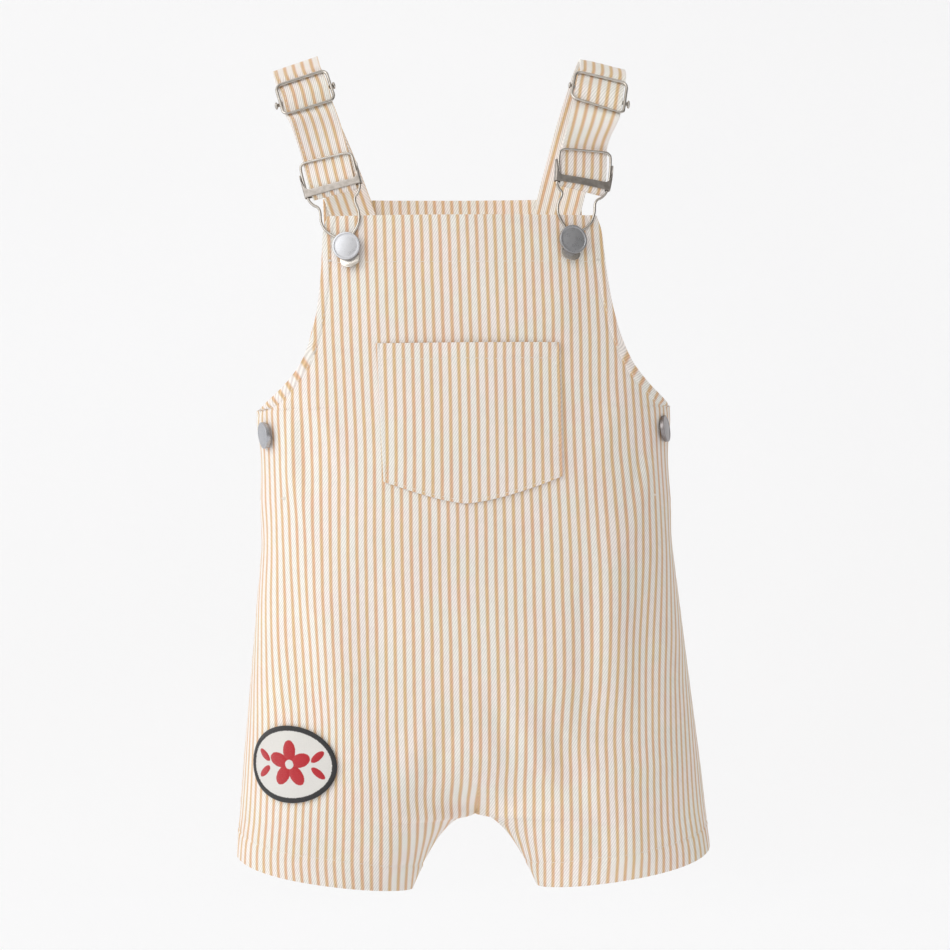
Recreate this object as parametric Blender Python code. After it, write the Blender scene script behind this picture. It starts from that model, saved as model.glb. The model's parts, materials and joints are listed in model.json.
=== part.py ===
"""Baby romper: striped cotton dungarees with short legs, filled out as if worn.

Lengths are in metres. The origin is midway between the tops of the two shoulder straps, the
front of the garment faces -Y and +Z is up. The right half (+X) is worked out first, and the left
half is its mirror image, apart from the folds, the badge and a slight lean of the whole garment.
"""

import math
from collections import namedtuple
from functools import lru_cache

import bpy
import numpy as np

# Cloth
CLOTH = 0.0015
SEAM_GAP = 0.0003
SQUARENESS = 0.03

# Heights of the garment, measured down from the top of the straps
BIB_TOP = -0.0860
BACK_TOP = -0.0705
UNDERARM = -0.1880
CROTCH = -0.4050
HEM_AT_INSEAM = -0.4450
HEM_RISE = 0.0140
ROUNDING_UNDER_CROTCH = 0.0400
LEGS_BEGIN = 0.0800
WEB_SOFTNESS = 3
ARCH_HALF_WIDTH = 0.0338
INSEAM = CROTCH - HEM_AT_INSEAM

# Sections of the body, from the top down: height, half width, front depth, back depth
BODY_SECTIONS = (
    (-0.0400, 0.0920, 0.0350, 0.0370),
    (-0.0860, 0.0985, 0.0405, 0.0420),
    (-0.1300, 0.1045, 0.0455, 0.0465),
    (UNDERARM, 0.1105, 0.0475, 0.0500),
    (-0.2130, 0.1084, 0.0480, 0.0518),
    (-0.2400, 0.1096, 0.0485, 0.0540),
    (-0.3000, 0.1153, 0.0540, 0.0620),
    (-0.3450, 0.1200, 0.0580, 0.0650),
    (-0.3800, 0.1238, 0.0550, 0.0610),
    (-0.4050, 0.1262, 0.0490, 0.0530),
    (-0.4250, 0.1280, 0.0405, 0.0430),
    (-0.4450, 0.1296, 0.0330, 0.0350),
)

# The garment hangs a little askew: sideways drift for each metre down, above and below the underarm
STRAP_LEAN = 0.022
BODY_LEAN = 0.012

# Cut edge of the armhole, from the top down: height, half width
FRONT_EDGE = (
    (BIB_TOP, 0.0700),
    (-0.0920, 0.0722),
    (-0.1040, 0.0745),
    (-0.1210, 0.0762),
    (-0.1390, 0.0792),
    (-0.1540, 0.0836),
    (-0.1650, 0.0890),
    (-0.1750, 0.0976),
    (-0.1826, 0.1059),
    (UNDERARM, 0.1105),
)
BACK_EDGE = (
    (BACK_TOP, 0.0730),
    (BIB_TOP, 0.0735),
    (-0.1040, 0.0745),
    (-0.1210, 0.0762),
    (-0.1390, 0.0792),
    (-0.1540, 0.0836),
    (-0.1650, 0.0890),
    (-0.1750, 0.0976),
    (-0.1826, 0.1059),
    (UNDERARM, 0.1105),
)

# Largest folds, as soft ridges (+) and troughs (-) along a line on one panel:
# panel, across and height of the upper end, across and height of the lower end, width, depth
FOLDS = (
    ("front", -0.085, -0.270, -0.062, -0.400, 0.012, 0.0022),
    ("front", -0.100, -0.255, -0.090, -0.340, 0.009, -0.0016),
    ("front", 0.079, -0.220, 0.070, -0.345, 0.010, 0.0018),
    ("front", 0.062, -0.280, 0.058, -0.370, 0.008, -0.0016),
    ("front", 0.020, -0.345, 0.060, -0.395, 0.009, -0.0012),
    ("back", -0.080, -0.250, -0.058, -0.390, 0.012, 0.0022),
    ("back", 0.074, -0.240, 0.066, -0.370, 0.011, 0.0020),
    ("back", 0.000, -0.300, 0.008, -0.380, 0.012, -0.0016),
)

# Side openings: the front laps over the back from the underarm down
LAP_BOTTOM = -0.2350
LAP_TAPER = 0.0100
HEIGHT_SLACK = 1e-6
LAP_ANGLE = math.radians(11)
LAP_LIFT = CLOTH + SEAM_GAP
LAP_LIFT_FROM = math.radians(68)
LAP_LIFT_TO = math.radians(87)

# Grid of a panel's right half
COLUMNS = 12
LAP_COLUMNS = 2
LEG_STEPS = 5
ROUNDING_STEPS = 4
CURVE_STEPS = 90
BODY_ROWS = (-0.352, -0.338, -0.322, -0.304, -0.286, -0.268, -0.254, -0.245, -0.235, -0.218, -0.202)

# Chest pocket
POCKET_CENTRE = 0.0003
POCKET_TOP = -0.1545
POCKET_SIDE_BOTTOM = -0.2240
POCKET_MIDDLE_BOTTOM = -0.2380
POCKET_HALF_WIDTH = 0.0475
POCKET_BOTTOM_CURVE = 1.5
POCKET_COLUMNS = 10
POCKET_ROWS = 7

# Badge on the left leg
BADGE_ACROSS = -0.0980
BADGE_HEIGHT = -0.3730
BADGE_HALF_WIDTH = 0.0260
BADGE_HALF_HEIGHT = 0.0200
BADGE_THICKNESS = 0.0012
BADGE_GAP = 0.0005
BADGE_SPOKES = 24
BADGE_RINGS = 3

# Straps, sliders and hooks (the right-hand ones)
# Where the strap lies inside the back, from its sewn end up: across, height
STRAP_ON_BACK = (
    (0.0553, -0.0850),
    (0.0597, -0.0705),
    (0.0668, -0.0490),
)
BACK_STRAP_TILT = math.radians(18)
BACK_STRAP_BOW = 0.0006
BOWED_STOPS = 4
# Where the strap passes over the shoulder, from the back to the front
SHOULDER_ROUTE = (
    (0.0745, 0.0302, -0.0260),
    (0.0805, 0.0180, -0.0085),
    (0.0830, 0.0000, -0.0016),
)
# How the strap lies between the slider and the hook, past their edges and out of their planes
ABOVE_SLIDER = 0.0060
ABOVE_SLIDER_OUT = -0.0030
BELOW_SLIDER = 0.0080
BELOW_SLIDER_OUT = -0.0016
BELOW_SLIDER_RETURN_OUT = -0.0042
ABOVE_HOOK = 0.0040
RETURN_AT_HOOK_OUT = -0.0026
ABOVE_GUARD = 0.0060
TAIL_PAST_BAR = 0.0030
STRAP_WIDTH = 0.0250
STRAP_THICKNESS = 0.0016
STRAP_TILT = math.radians(15)
SLIDER_PLACE = (0.0787, -0.0240, -0.0175)
SLIDER_LEAN = math.radians(33)
SLIDER_HALF_WIDTH = 0.0139
SLIDER_HALF_HEIGHT = 0.0087
SLIDER_CORNER = 0.0030
SLIDER_WIRE = 0.0008
SLIDER_BAR_OUT = -0.0019
KNOB_RADIUS = 0.0013
KNOB_START = 0.0150
KNOB_END = 0.0166
KNOB_ROUNDING = 0.0004

BIB_BUTTON_ACROSS = 0.0596
BIB_BUTTON_HEIGHT = -0.1007
HOOK_TILT = math.radians(13)
HOOK_WIRE = 0.0007
HOOK_WIRE_LOW = SEAM_GAP + HOOK_WIRE
HOOK_WIRE_HIGH = 0.0018
HOOK_TOP = 0.0470
HOOK_BEND = 0.0200
# Half of the hook's wire outline, from the middle of the top to the middle of the bottom:
# across, up from the button
HOOK_OUTLINE = (
    (0.0000, HOOK_TOP),
    (0.0100, HOOK_TOP),
    (0.0132, 0.0461),
    (0.0143, 0.0432),
    (0.0143, 0.0310),
    (0.0141, 0.0278),
    (0.0124, 0.0252),
    (0.0104, 0.0236),
    (0.0097, 0.0212),
    (0.0104, 0.0168),
    (0.0096, 0.0124),
    (0.0073, 0.0090),
    (0.0046, 0.0063),
    (0.0033, 0.0030),
    (0.0032, 0.0000),
    (0.0023, -0.0024),
    (0.0000, -0.0034),
)
GUARD_UP = 0.0309
GUARD_HALF_HEIGHT = 0.0017
GUARD_HALF_WIDTH = 0.0156
GUARD_SHEET = 0.0006
GUARD_FRONT_OUT = 0.00265
GUARD_REAR_OUT = -0.0005
GUARD_CORNER = 0.0006
CHEEK_TOP = 0.0410
LIP_UP = -0.0070
LIP_HALF_HEIGHT = 0.0043
LIP_HALF_WIDTH = 0.0054
LIP_OUT = 0.0023
LIP_RISE = 0.0014
LIP_SPOKES = 20
LIP_RINGS = 3

# Buttons
BUTTON_RADIUS = 0.0070
BUTTON_RIM = 0.0007
RIM_CORNER = 0.3 * BUTTON_RIM
SHANK_RADIUS = 0.0020
BIB_BUTTON_UNDER = 0.0029
BIB_BUTTON_FACE = 0.0049
SIDE_BUTTON_ANGLE = math.radians(73)
SIDE_BUTTON_HEIGHT = -0.2005
SIDE_BUTTON_UNDER = 0.0010
SIDE_BUTTON_FACE = 0.0032
ROUND_SEGMENTS = 20
ROUTE_STEPS = 3
WIRE_STEPS = 2

# Shading and the spacing of the points that a slope is taken from
CLOTH_SHARP_ANGLE = 50
METAL_SHARP_ANGLE = 35
NEAR_PART = 0.001
NEAR_HEIGHT = 0.0005
NEAR_ANGLE = 0.01

Place = namedtuple("Place", "origin across up out")


# ---- small sums -----------------------------------------------------------------------------


def unit(vector):
    return np.asarray(vector, float) / np.linalg.norm(vector)


def smooth_step(value):
    held = min(max(value, 0.0), 1.0)
    return held * held * (3 - 2 * held)


def table_value(table, column, height):
    """A column of a table of sections at any height, on a smooth curve through its rows."""
    rows = sorted(table)
    heights = [row[0] for row in rows]
    values = [row[column] for row in rows]
    slopes = np.gradient(values, heights)
    held = min(max(height, heights[0]), heights[-1])
    low = min(int(np.searchsorted(heights, held, side="right")) - 1, len(rows) - 2)
    step = heights[low + 1] - heights[low]
    part = (held - heights[low]) / step
    square, cube = part * part, part * part * part
    return (
        (2 * cube - 3 * square + 1) * values[low]
        + (cube - 2 * square + part) * step * slopes[low]
        + (3 * square - 2 * cube) * values[low + 1]
        + (cube - square) * step * slopes[low + 1]
    )


def smooth_route(points, steps):
    """Points along a smooth curve through the given ones, with so many steps in each stretch."""
    given = np.asarray(points, float)
    ends = [2 * given[0] - given[1], *given, 2 * given[-1] - given[-2]]
    route = []
    for before, start, end, after in zip(ends, ends[1:], ends[2:], ends[3:]):
        for step in range(steps):
            part = step / steps
            route.append(
                0.5
                * (
                    2 * start
                    + (end - before) * part
                    + (2 * before - 5 * start + 4 * end - after) * part**2
                    + (3 * start - before - 3 * end + after) * part**3
                )
            )
    route.append(given[-1])
    return np.array(route)


def leaned(points):
    """The points moved sideways by the garment's lean at their heights."""
    moved = np.array(points, float)
    down = -moved[:, 2]
    moved[:, 0] += STRAP_LEAN * np.minimum(down, -UNDERARM) + BODY_LEAN * np.maximum(down + UNDERARM, 0)
    return moved


def put(place, across, up, out):
    return place.origin + across * place.across + up * place.up + out * place.out


# ---- the body's outer surface, right half ----------------------------------------------------


def facing(panel):
    return -1 if panel == "front" else 1


@lru_cache(maxsize=None)
def section(panel, height):
    """Half width and depth of the body at a height."""
    half = table_value(BODY_SECTIONS, 1, height)
    return half, table_value(BODY_SECTIONS, 2 if panel == "front" else 3, height)


def body_point(panel, angle, height):
    """A point of the trunk: the angle is 0 at the middle of the panel and 90 degrees at its side."""
    half, depth = section(panel, height)
    across = half * (math.sin(angle) + SQUARENESS * math.sin(3 * angle)) / (1 - SQUARENESS)
    away = depth * (math.cos(angle) - SQUARENESS * math.cos(3 * angle)) / (1 - SQUARENESS)
    return np.array([across, facing(panel) * (away + SEAM_GAP / 2), height])


def leg_point(panel, part, height):
    """A point of the leg's tube: part is 0 at the inseam and 1 at the side seam."""
    drop = max(CROTCH - height, 0.0)
    inner = ARCH_HALF_WIDTH * math.sqrt(drop / INSEAM)
    outer, depth = section(panel, height)
    angle = part * math.pi
    across = (inner + outer) / 2 - (outer - inner) / 2 * math.cos(angle)
    return np.array([across, facing(panel) * (depth * math.sin(angle) + SEAM_GAP / 2), height])


@lru_cache(maxsize=None)
def edge_angle(panel, height):
    """The angle at which the armhole cuts the panel off, 90 degrees below the underarm."""
    if height <= UNDERARM:
        return math.pi / 2
    edge = table_value(FRONT_EDGE if panel == "front" else BACK_EDGE, 1, height)
    angles = np.linspace(0, math.pi / 2, CURVE_STEPS + 1)
    across = [body_point(panel, angle, height)[0] for angle in angles]
    return float(np.interp(edge, across, angles))


def panel_point(panel, part, height):
    """A point of the panel's right half, from its middle or inseam (0) to its edge (1).

    Above the crotch the trunk's section turns slowly into the two legs', while the middle of the
    panel stays full and only rounds under close to the crotch.
    """
    above = height - CROTCH
    if above <= 0:
        return leg_point(panel, part, height)
    trunk = body_point(panel, part * edge_angle(panel, height), height)
    if above >= LEGS_BEGIN:
        return trunk
    leg = leg_point(panel, part, height)
    legs = smooth_step(1 - above / LEGS_BEGIN)
    point = (1 - legs) * trunk + legs * leg
    if part < 0.5:
        low = max(1 - above / ROUNDING_UNDER_CROTCH, 0.0)
        fullness = math.sqrt(1 - low * low)
        tube = math.sin(part * math.pi) if part > 0 else 0.0
        soft = tube ** (1 + WEB_SOFTNESS * smooth_step(2 * (1 - low)))
        depth = section(panel, height)[1]
        away = legs * (soft - tube) + (fullness - 1 + legs) * (1 - soft)
        point[1] += facing(panel) * depth * away
    return point


def fold_depth(panel, across, height):
    """How far the panel stands out of its plain form, or sinks into it, at a place."""
    total = 0.0
    for name, x_top, z_top, x_low, z_low, width, depth in FOLDS:
        if name != panel:
            continue
        run = np.array([x_low - x_top, z_low - z_top])
        offset = np.array([across - x_top, height - z_top])
        along = offset @ run / (run @ run)
        if not 0 < along < 1:
            continue
        aside = (offset[0] * run[1] - offset[1] * run[0]) / np.linalg.norm(run)
        total += depth * math.sin(math.pi * along) ** 2 * math.exp(-((aside / width) ** 2))
    return total


def lap_lift(panel, angle, height):
    """How far the front stands out at the side opening, to lie over the back."""
    if panel == "back":
        return 0.0
    around = smooth_step((angle - LAP_LIFT_FROM) / (LAP_LIFT_TO - LAP_LIFT_FROM))
    down = smooth_step((height - LAP_BOTTOM + LAP_TAPER) / LAP_TAPER)
    return LAP_LIFT * around * down


# ---- meshes ----------------------------------------------------------------------------------


def vertex_normals(points, faces):
    normals = np.zeros_like(points)
    for face in faces:
        corners = points[list(face)]
        area = np.zeros(3)
        for first, second in zip(corners, np.roll(corners, -1, axis=0)):
            area += np.cross(first, second)
        normals[list(face)] += area
    return normals / np.linalg.norm(normals, axis=1)[:, None]


def wall_faces(faces, count):
    """Faces of a closed wall: the outer sheet, the inner sheet turned over, and its cut edges."""
    edges = {}
    for face in faces:
        for first, second in zip(face, face[1:] + face[:1]):
            edges[(first, second)] = True
    closed = list(faces)
    closed += [tuple(corner + count for corner in reversed(face)) for face in faces]
    for first, second in edges:
        if (second, first) not in edges:
            closed.append((second, first, first + count, second + count))
    return closed


def grid_faces(rows, columns):
    """Faces of a grid whose points run along each row, facing to the right of the rows' order."""
    faces = []
    for row in range(rows - 1):
        for column in range(columns - 1):
            corner = row * columns + column
            faces.append((corner, corner + 1, corner + columns + 1, corner + columns))
    return faces


def disc_faces(rings, spokes):
    """Faces of a disc whose points are its centre and then each ring, from the inside out."""
    faces = []
    for spoke in range(spokes):
        after = (spoke + 1) % spokes
        faces.append((0, 1 + spoke, 1 + after))
        for ring in range(rings - 1):
            start = 1 + ring * spokes
            faces.append((start + spoke, start + spokes + spoke, start + spokes + after, start + after))
    return faces


def material(name, colour, roughness, metallic=0.0):
    made = bpy.data.materials.get(name) or bpy.data.materials.new(name)
    made.use_nodes = True
    shader = made.node_tree.nodes["Principled BSDF"]
    shader.inputs["Base Color"].default_value = (*colour, 1.0)
    shader.inputs["Roughness"].default_value = roughness
    shader.inputs["Metallic"].default_value = metallic
    return made


def add_mesh(name, points, faces, finish, side=1, sharp=METAL_SHARP_ANGLE):
    """A closed mesh object. A side of -1 mirrors it to the left half."""
    points = leaned(np.asarray(points) * (side, 1, 1))
    if side < 0:
        faces = [tuple(reversed(face)) for face in faces]
    mesh = bpy.data.meshes.new(name)
    mesh.from_pydata(points.tolist(), [], faces)
    mesh.shade_smooth()
    mesh.set_sharp_from_angle(angle=math.radians(sharp))
    mesh.materials.append(finish)
    made = bpy.data.objects.new(name, mesh)
    bpy.context.scene.collection.objects.link(made)
    return made


def add_wire(name, points, radius, finish, side):
    """A closed ring of round wire through the given points."""
    curve = bpy.data.curves.new(name, "CURVE")
    curve.dimensions = "3D"
    curve.bevel_depth = radius
    curve.bevel_resolution = 2
    spline = curve.splines.new("POLY")
    spline.points.add(len(points) - 1)
    for knot, point in zip(spline.points, leaned(np.asarray(points) * (side, 1, 1))):
        knot.co = (*point, 1.0)
    spline.use_cyclic_u = True
    curve.materials.append(finish)
    made = bpy.data.objects.new(name, curve)
    bpy.context.scene.collection.objects.link(made)
    return made


def add_turned(name, place, profile, finish, side):
    """A solid turned about the place's out axis. The profile holds radius and out, from its foot up."""
    points = [put(place, 0, 0, profile[0][1])]
    for radius, out in profile:
        for segment in range(ROUND_SEGMENTS):
            turn = 2 * math.pi * segment / ROUND_SEGMENTS
            points.append(put(place, radius * math.cos(turn), radius * math.sin(turn), out))
    points.append(put(place, 0, 0, profile[-1][1]))
    top = len(points) - 1
    faces = []
    for segment in range(ROUND_SEGMENTS):
        after = (segment + 1) % ROUND_SEGMENTS
        faces.append((0, 1 + after, 1 + segment))
        for ring in range(len(profile) - 1):
            start = 1 + ring * ROUND_SEGMENTS
            above = start + ROUND_SEGMENTS
            faces.append((start + segment, start + after, above + after, above + segment))
        last = 1 + (len(profile) - 1) * ROUND_SEGMENTS
        faces.append((last + segment, last + after, top))
    return add_mesh(name, points, faces, finish, side)


# ---- front and back --------------------------------------------------------------------------


def panel_rows(panel):
    """Rows of a panel from the hem up, each a function from a column's part to its height."""

    def leg_row(part_down):
        def height(part):
            hem = HEM_AT_INSEAM + HEM_RISE * part * part
            return CROTCH - (CROTCH - hem) * part_down**2

        return height

    def level_row(level):
        return lambda part: level

    rows = [leg_row(1 - step / LEG_STEPS) for step in range(LEG_STEPS)]
    for step in range(ROUNDING_STEPS + 1):
        rise = 1 - math.cos(step / ROUNDING_STEPS * math.pi / 2)
        rows.append(level_row(CROTCH + ROUNDING_UNDER_CROTCH * rise))
    edge = FRONT_EDGE if panel == "front" else BACK_EDGE
    levels = list(BODY_ROWS) + sorted(row[0] for row in edge)
    rows += [level_row(level) for level in levels]
    return rows


def panel_wall(panel):
    """Points and faces of one panel: trunk, bib and both legs in one piece of cloth."""
    rows = panel_rows(panel)
    points, faces, seam, index = [], [], [], {}
    for side in (1, -1):
        for row, height_of in enumerate(rows):
            for column in range(COLUMNS + LAP_COLUMNS + 1):
                part = min(column / COLUMNS, 1)
                height = height_of(part)
                if column == 0 and row >= LEG_STEPS and side == -1:
                    index[side, row, column] = index[1, row, column]
                    continue
                if column > COLUMNS:
                    if panel == "back" or not LAP_BOTTOM - HEIGHT_SLACK <= height <= UNDERARM + HEIGHT_SLACK:
                        continue
                    beyond = (column - COLUMNS) / LAP_COLUMNS * LAP_ANGLE
                    point = body_point("back", math.pi / 2 - beyond, height)
                else:
                    point = panel_point(panel, part, height)
                index[side, row, column] = len(points)
                at_inseam = column == 0 and row <= LEG_STEPS
                at_side = column == COLUMNS and height <= UNDERARM
                if at_inseam or at_side:
                    seam.append(len(points))
                points.append(point * (side, 1, 1))
        for row in range(len(rows) - 1):
            for column in range(COLUMNS + LAP_COLUMNS):
                corners = [
                    (side, row, column),
                    (side, row, column + 1),
                    (side, row + 1, column + 1),
                    (side, row + 1, column),
                ]
                if all(corner in index for corner in corners):
                    face = tuple(index[corner] for corner in corners)
                    outwards = (side == 1) == (panel == "front")
                    faces.append(face if outwards else tuple(reversed(face)))
    points = np.array(points)
    normals = vertex_normals(points, faces)
    normals[seam, 1] = 0
    normals /= np.linalg.norm(normals, axis=1)[:, None]
    lifts = np.zeros(len(points))
    for (_, row, column), number in index.items():
        place = points[number]
        height = rows[row](min(column / COLUMNS, 1))
        angle = min(column / COLUMNS, 1) * edge_angle(panel, height)
        lift = lap_lift(panel, angle, height)
        if number not in seam and column <= COLUMNS:
            lift += fold_depth(panel, place[0], place[2])
        lifts[number] = lift
    outer = points + normals * lifts[:, None]
    inner = outer - normals * CLOTH
    return np.concatenate([outer, inner]), wall_faces(faces, len(points))


@lru_cache(maxsize=None)
def level_curve(panel, height):
    """Closely spaced points of a panel's right half at a height, and their parts."""
    parts = np.linspace(0, 1, CURVE_STEPS + 1)
    return np.array([panel_point(panel, part, height) for part in parts]), parts


def place_on(panel, across, height, lift):
    """A point of a panel, folds included, moved out by lift, and the way out. It serves both halves."""
    curve, parts = level_curve(panel, height)
    part = float(np.interp(abs(across), curve[:, 0], parts))
    near = panel_point(panel, part, height)
    beside = panel_point(panel, part + NEAR_PART, height) - panel_point(panel, part - NEAR_PART, height)
    below = panel_point(panel, part, height - NEAR_HEIGHT) - panel_point(panel, part, height + NEAR_HEIGHT)
    normal = unit(np.cross(below, beside)) * -facing(panel)
    mirror = (math.copysign(1, across), 1, 1)
    lift += fold_depth(panel, across, height)
    return (near + normal * lift) * mirror, normal * mirror


# ---- what is sewn on the front ---------------------------------------------------------------


def pocket(finish):
    inner, outer = [], []
    for row in range(POCKET_ROWS):
        for column in range(POCKET_COLUMNS):
            aside = 2 * column / (POCKET_COLUMNS - 1) - 1
            rise = (POCKET_SIDE_BOTTOM - POCKET_MIDDLE_BOTTOM) * abs(aside) ** POCKET_BOTTOM_CURVE
            bottom = POCKET_MIDDLE_BOTTOM + rise
            height = bottom + (POCKET_TOP - bottom) * row / (POCKET_ROWS - 1)
            across = POCKET_CENTRE + aside * POCKET_HALF_WIDTH
            inner.append(place_on("front", across, height, SEAM_GAP)[0])
            outer.append(place_on("front", across, height, SEAM_GAP + CLOTH)[0])
    faces = wall_faces(grid_faces(POCKET_ROWS, POCKET_COLUMNS), len(outer))
    add_mesh("pocket", outer + inner, faces, finish)


def across_at(arc, height):
    """How far across the front a place lies, at a height, for its distance along the cloth."""
    curve, _ = level_curve("front", height)
    steps = np.linalg.norm(np.diff(curve, axis=0), axis=1)
    lengths = np.concatenate([[0], np.cumsum(steps)])
    middle = np.interp(abs(BADGE_ACROSS), curve[:, 0], lengths)
    return math.copysign(np.interp(middle + arc, lengths, curve[:, 0]), BADGE_ACROSS)


def badge(finish):
    inner, outer = [], []
    spots = [(0.0, 0.0)]
    for ring in range(1, BADGE_RINGS + 1):
        for spoke in range(BADGE_SPOKES):
            turn = 2 * math.pi * spoke / BADGE_SPOKES
            spots.append((ring / BADGE_RINGS * math.cos(turn), ring / BADGE_RINGS * math.sin(turn)))
    for aside, up in spots:
        height = BADGE_HEIGHT + up * BADGE_HALF_HEIGHT
        across = across_at(-aside * BADGE_HALF_WIDTH, height)
        inner.append(place_on("front", across, height, BADGE_GAP)[0])
        outer.append(place_on("front", across, height, BADGE_GAP + BADGE_THICKNESS)[0])
    faces = wall_faces(disc_faces(BADGE_RINGS, BADGE_SPOKES), len(outer))
    add_mesh("badge", outer + inner, faces, finish)


def side_button_place():
    base = body_point("front", SIDE_BUTTON_ANGLE, SIDE_BUTTON_HEIGHT)
    lift = lap_lift("front", SIDE_BUTTON_ANGLE, SIDE_BUTTON_HEIGHT)
    ahead = body_point("front", SIDE_BUTTON_ANGLE + NEAR_ANGLE, SIDE_BUTTON_HEIGHT)
    across = unit(ahead - base)
    out = unit(np.cross((0, 0, -1), across))
    up = np.cross(out, across)
    return Place(base + out * (lift + SEAM_GAP), across, up, out)


def button(name, place, under, face, finish, side):
    """A flat metal button with a rounded rim on a short shank."""
    foot = SEAM_GAP if under > SIDE_BUTTON_UNDER else 0.0
    profile = [
        (SHANK_RADIUS, foot),
        (SHANK_RADIUS, under),
        (BUTTON_RADIUS - BUTTON_RIM, under),
        (BUTTON_RADIUS, under + BUTTON_RIM),
        (BUTTON_RADIUS, face - BUTTON_RIM),
        (BUTTON_RADIUS - RIM_CORNER, face - RIM_CORNER),
        (BUTTON_RADIUS - BUTTON_RIM, face),
    ]
    add_turned(name, place, profile, finish, side)


# ---- strap, slider and hook ------------------------------------------------------------------


def tilted(place, tilt):
    """The place turned in its own plane, so that its top leans away from the middle."""
    across = math.cos(tilt) * place.across - math.sin(tilt) * place.up
    up = math.sin(tilt) * place.across + math.cos(tilt) * place.up
    return Place(place.origin, across, up, place.out)


def hook_place():
    base, out = place_on("front", BIB_BUTTON_ACROSS, BIB_BUTTON_HEIGHT, 0.0)
    across = unit(np.cross(out, (0, 0, 1)))
    return tilted(Place(base, -across, np.cross(across, out), out), HOOK_TILT)


def slider_place():
    lean_up = (0, math.sin(SLIDER_LEAN), math.cos(SLIDER_LEAN))
    out = (0, -math.cos(SLIDER_LEAN), math.sin(SLIDER_LEAN))
    upright = Place(np.array(SLIDER_PLACE), np.array([1.0, 0, 0]), np.array(lean_up), np.array(out))
    return tilted(upright, STRAP_TILT)


def hook_wire_out(up):
    """How far the hook's wire stands off the bib's plane at a distance up from the button."""
    rise = (up - HOOK_BEND) / (HOOK_TOP - HOOK_BEND)
    return HOOK_WIRE_LOW + (HOOK_WIRE_HIGH - HOOK_WIRE_LOW) * smooth_step(rise)


def hook_wire(name, place, finish, side):
    half = smooth_route(HOOK_OUTLINE, WIRE_STEPS)
    whole = list(half) + [(-across, up) for across, up in half[-2:0:-1]]
    points = [put(place, across, up, hook_wire_out(up)) for across, up in whole]
    add_wire(name, points, HOOK_WIRE, finish, side)


def guard_outline():
    """The guard's sheet seen from above: a ring round the strap, as across and out."""
    middle = (GUARD_FRONT_OUT + GUARD_REAR_OUT) / 2
    half_depth = (GUARD_FRONT_OUT - GUARD_REAR_OUT) / 2
    ring = []
    for turn in (0, 90, 180, 270):
        for step in (0, 45, 90):
            angle = math.radians(turn + step)
            sign_across = 1 if turn in (0, 270) else -1
            sign_out = 1 if turn in (0, 90) else -1
            across = sign_across * (GUARD_HALF_WIDTH - GUARD_CORNER) + GUARD_CORNER * math.cos(angle)
            out = middle + sign_out * (half_depth - GUARD_CORNER) + GUARD_CORNER * math.sin(angle)
            ring.append((across, out, math.cos(angle), math.sin(angle)))
    return ring


def hook_guard(name, place, finish, side):
    """A strip of sheet metal closed round the strap, with a cheek that rises at each side."""
    ring = guard_outline()
    points, faces = [], []
    for across, out, away_across, away_out in ring:
        at_cheek = abs(across) > GUARD_HALF_WIDTH - GUARD_CORNER / 2
        top = CHEEK_TOP if at_cheek else GUARD_UP + GUARD_HALF_HEIGHT
        low = GUARD_UP - GUARD_HALF_HEIGHT
        for level, swell in ((low, 1), (top, 1), (top, -1), (low, -1)):
            thick = swell * GUARD_SHEET / 2
            points.append(put(place, across + away_across * thick, level, out + away_out * thick))
    for number in range(len(ring)):
        here, after = 4 * number, 4 * ((number + 1) % len(ring))
        for first, second in ((0, 1), (1, 2), (2, 3), (3, 0)):
            faces.append((here + first, here + second, after + second, after + first))
    add_mesh(name, points, faces, finish, side)


def hook_lip(name, place, finish, side):
    """The smooth tongue that shows under the button, at the foot of the hook."""
    spots = [(0.0, 0.0)]
    for ring in range(1, LIP_RINGS + 1):
        for spoke in range(LIP_SPOKES):
            turn = 2 * math.pi * spoke / LIP_SPOKES
            spots.append((ring / LIP_RINGS * math.cos(turn), ring / LIP_RINGS * math.sin(turn)))
    outer, inner = [], []
    for aside, rise in spots:
        up = LIP_UP + rise * LIP_HALF_HEIGHT
        out = LIP_OUT + LIP_RISE * max(0.0, -rise) ** 2
        outer.append(put(place, aside * LIP_HALF_WIDTH, up, out + GUARD_SHEET / 2))
        inner.append(put(place, aside * LIP_HALF_WIDTH, up, out - GUARD_SHEET / 2))
    faces = wall_faces(disc_faces(LIP_RINGS, LIP_SPOKES), len(outer))
    add_mesh(name, outer + inner, faces, finish, side)


def slider_frame(name, place, finish, side):
    points = []
    for turn in (0, 90, 180, 270):
        for step in (0, 30, 60, 90):
            angle = math.radians(turn + step)
            sign_across = 1 if turn in (0, 270) else -1
            sign_up = 1 if turn in (0, 90) else -1
            across = sign_across * (SLIDER_HALF_WIDTH - SLIDER_CORNER) + SLIDER_CORNER * math.cos(angle)
            up = sign_up * (SLIDER_HALF_HEIGHT - SLIDER_CORNER) + SLIDER_CORNER * math.sin(angle)
            points.append(put(place, across, up, 0.0))
    add_wire(name, points, SLIDER_WIRE, finish, side)


def slider_bar(name, place, finish, side):
    """The slider's straight middle bar, with a knob at each end."""
    sideways = Place(put(place, 0, 0, SLIDER_BAR_OUT), place.up, place.out, place.across)
    knob = [
        (SLIDER_WIRE, KNOB_START),
        (KNOB_RADIUS, KNOB_START + KNOB_ROUNDING),
        (KNOB_RADIUS, KNOB_END - KNOB_ROUNDING),
        (SLIDER_WIRE, KNOB_END),
    ]
    profile = [(radius, -along) for radius, along in reversed(knob)] + knob
    add_turned(name, sideways, profile, finish, side)


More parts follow.
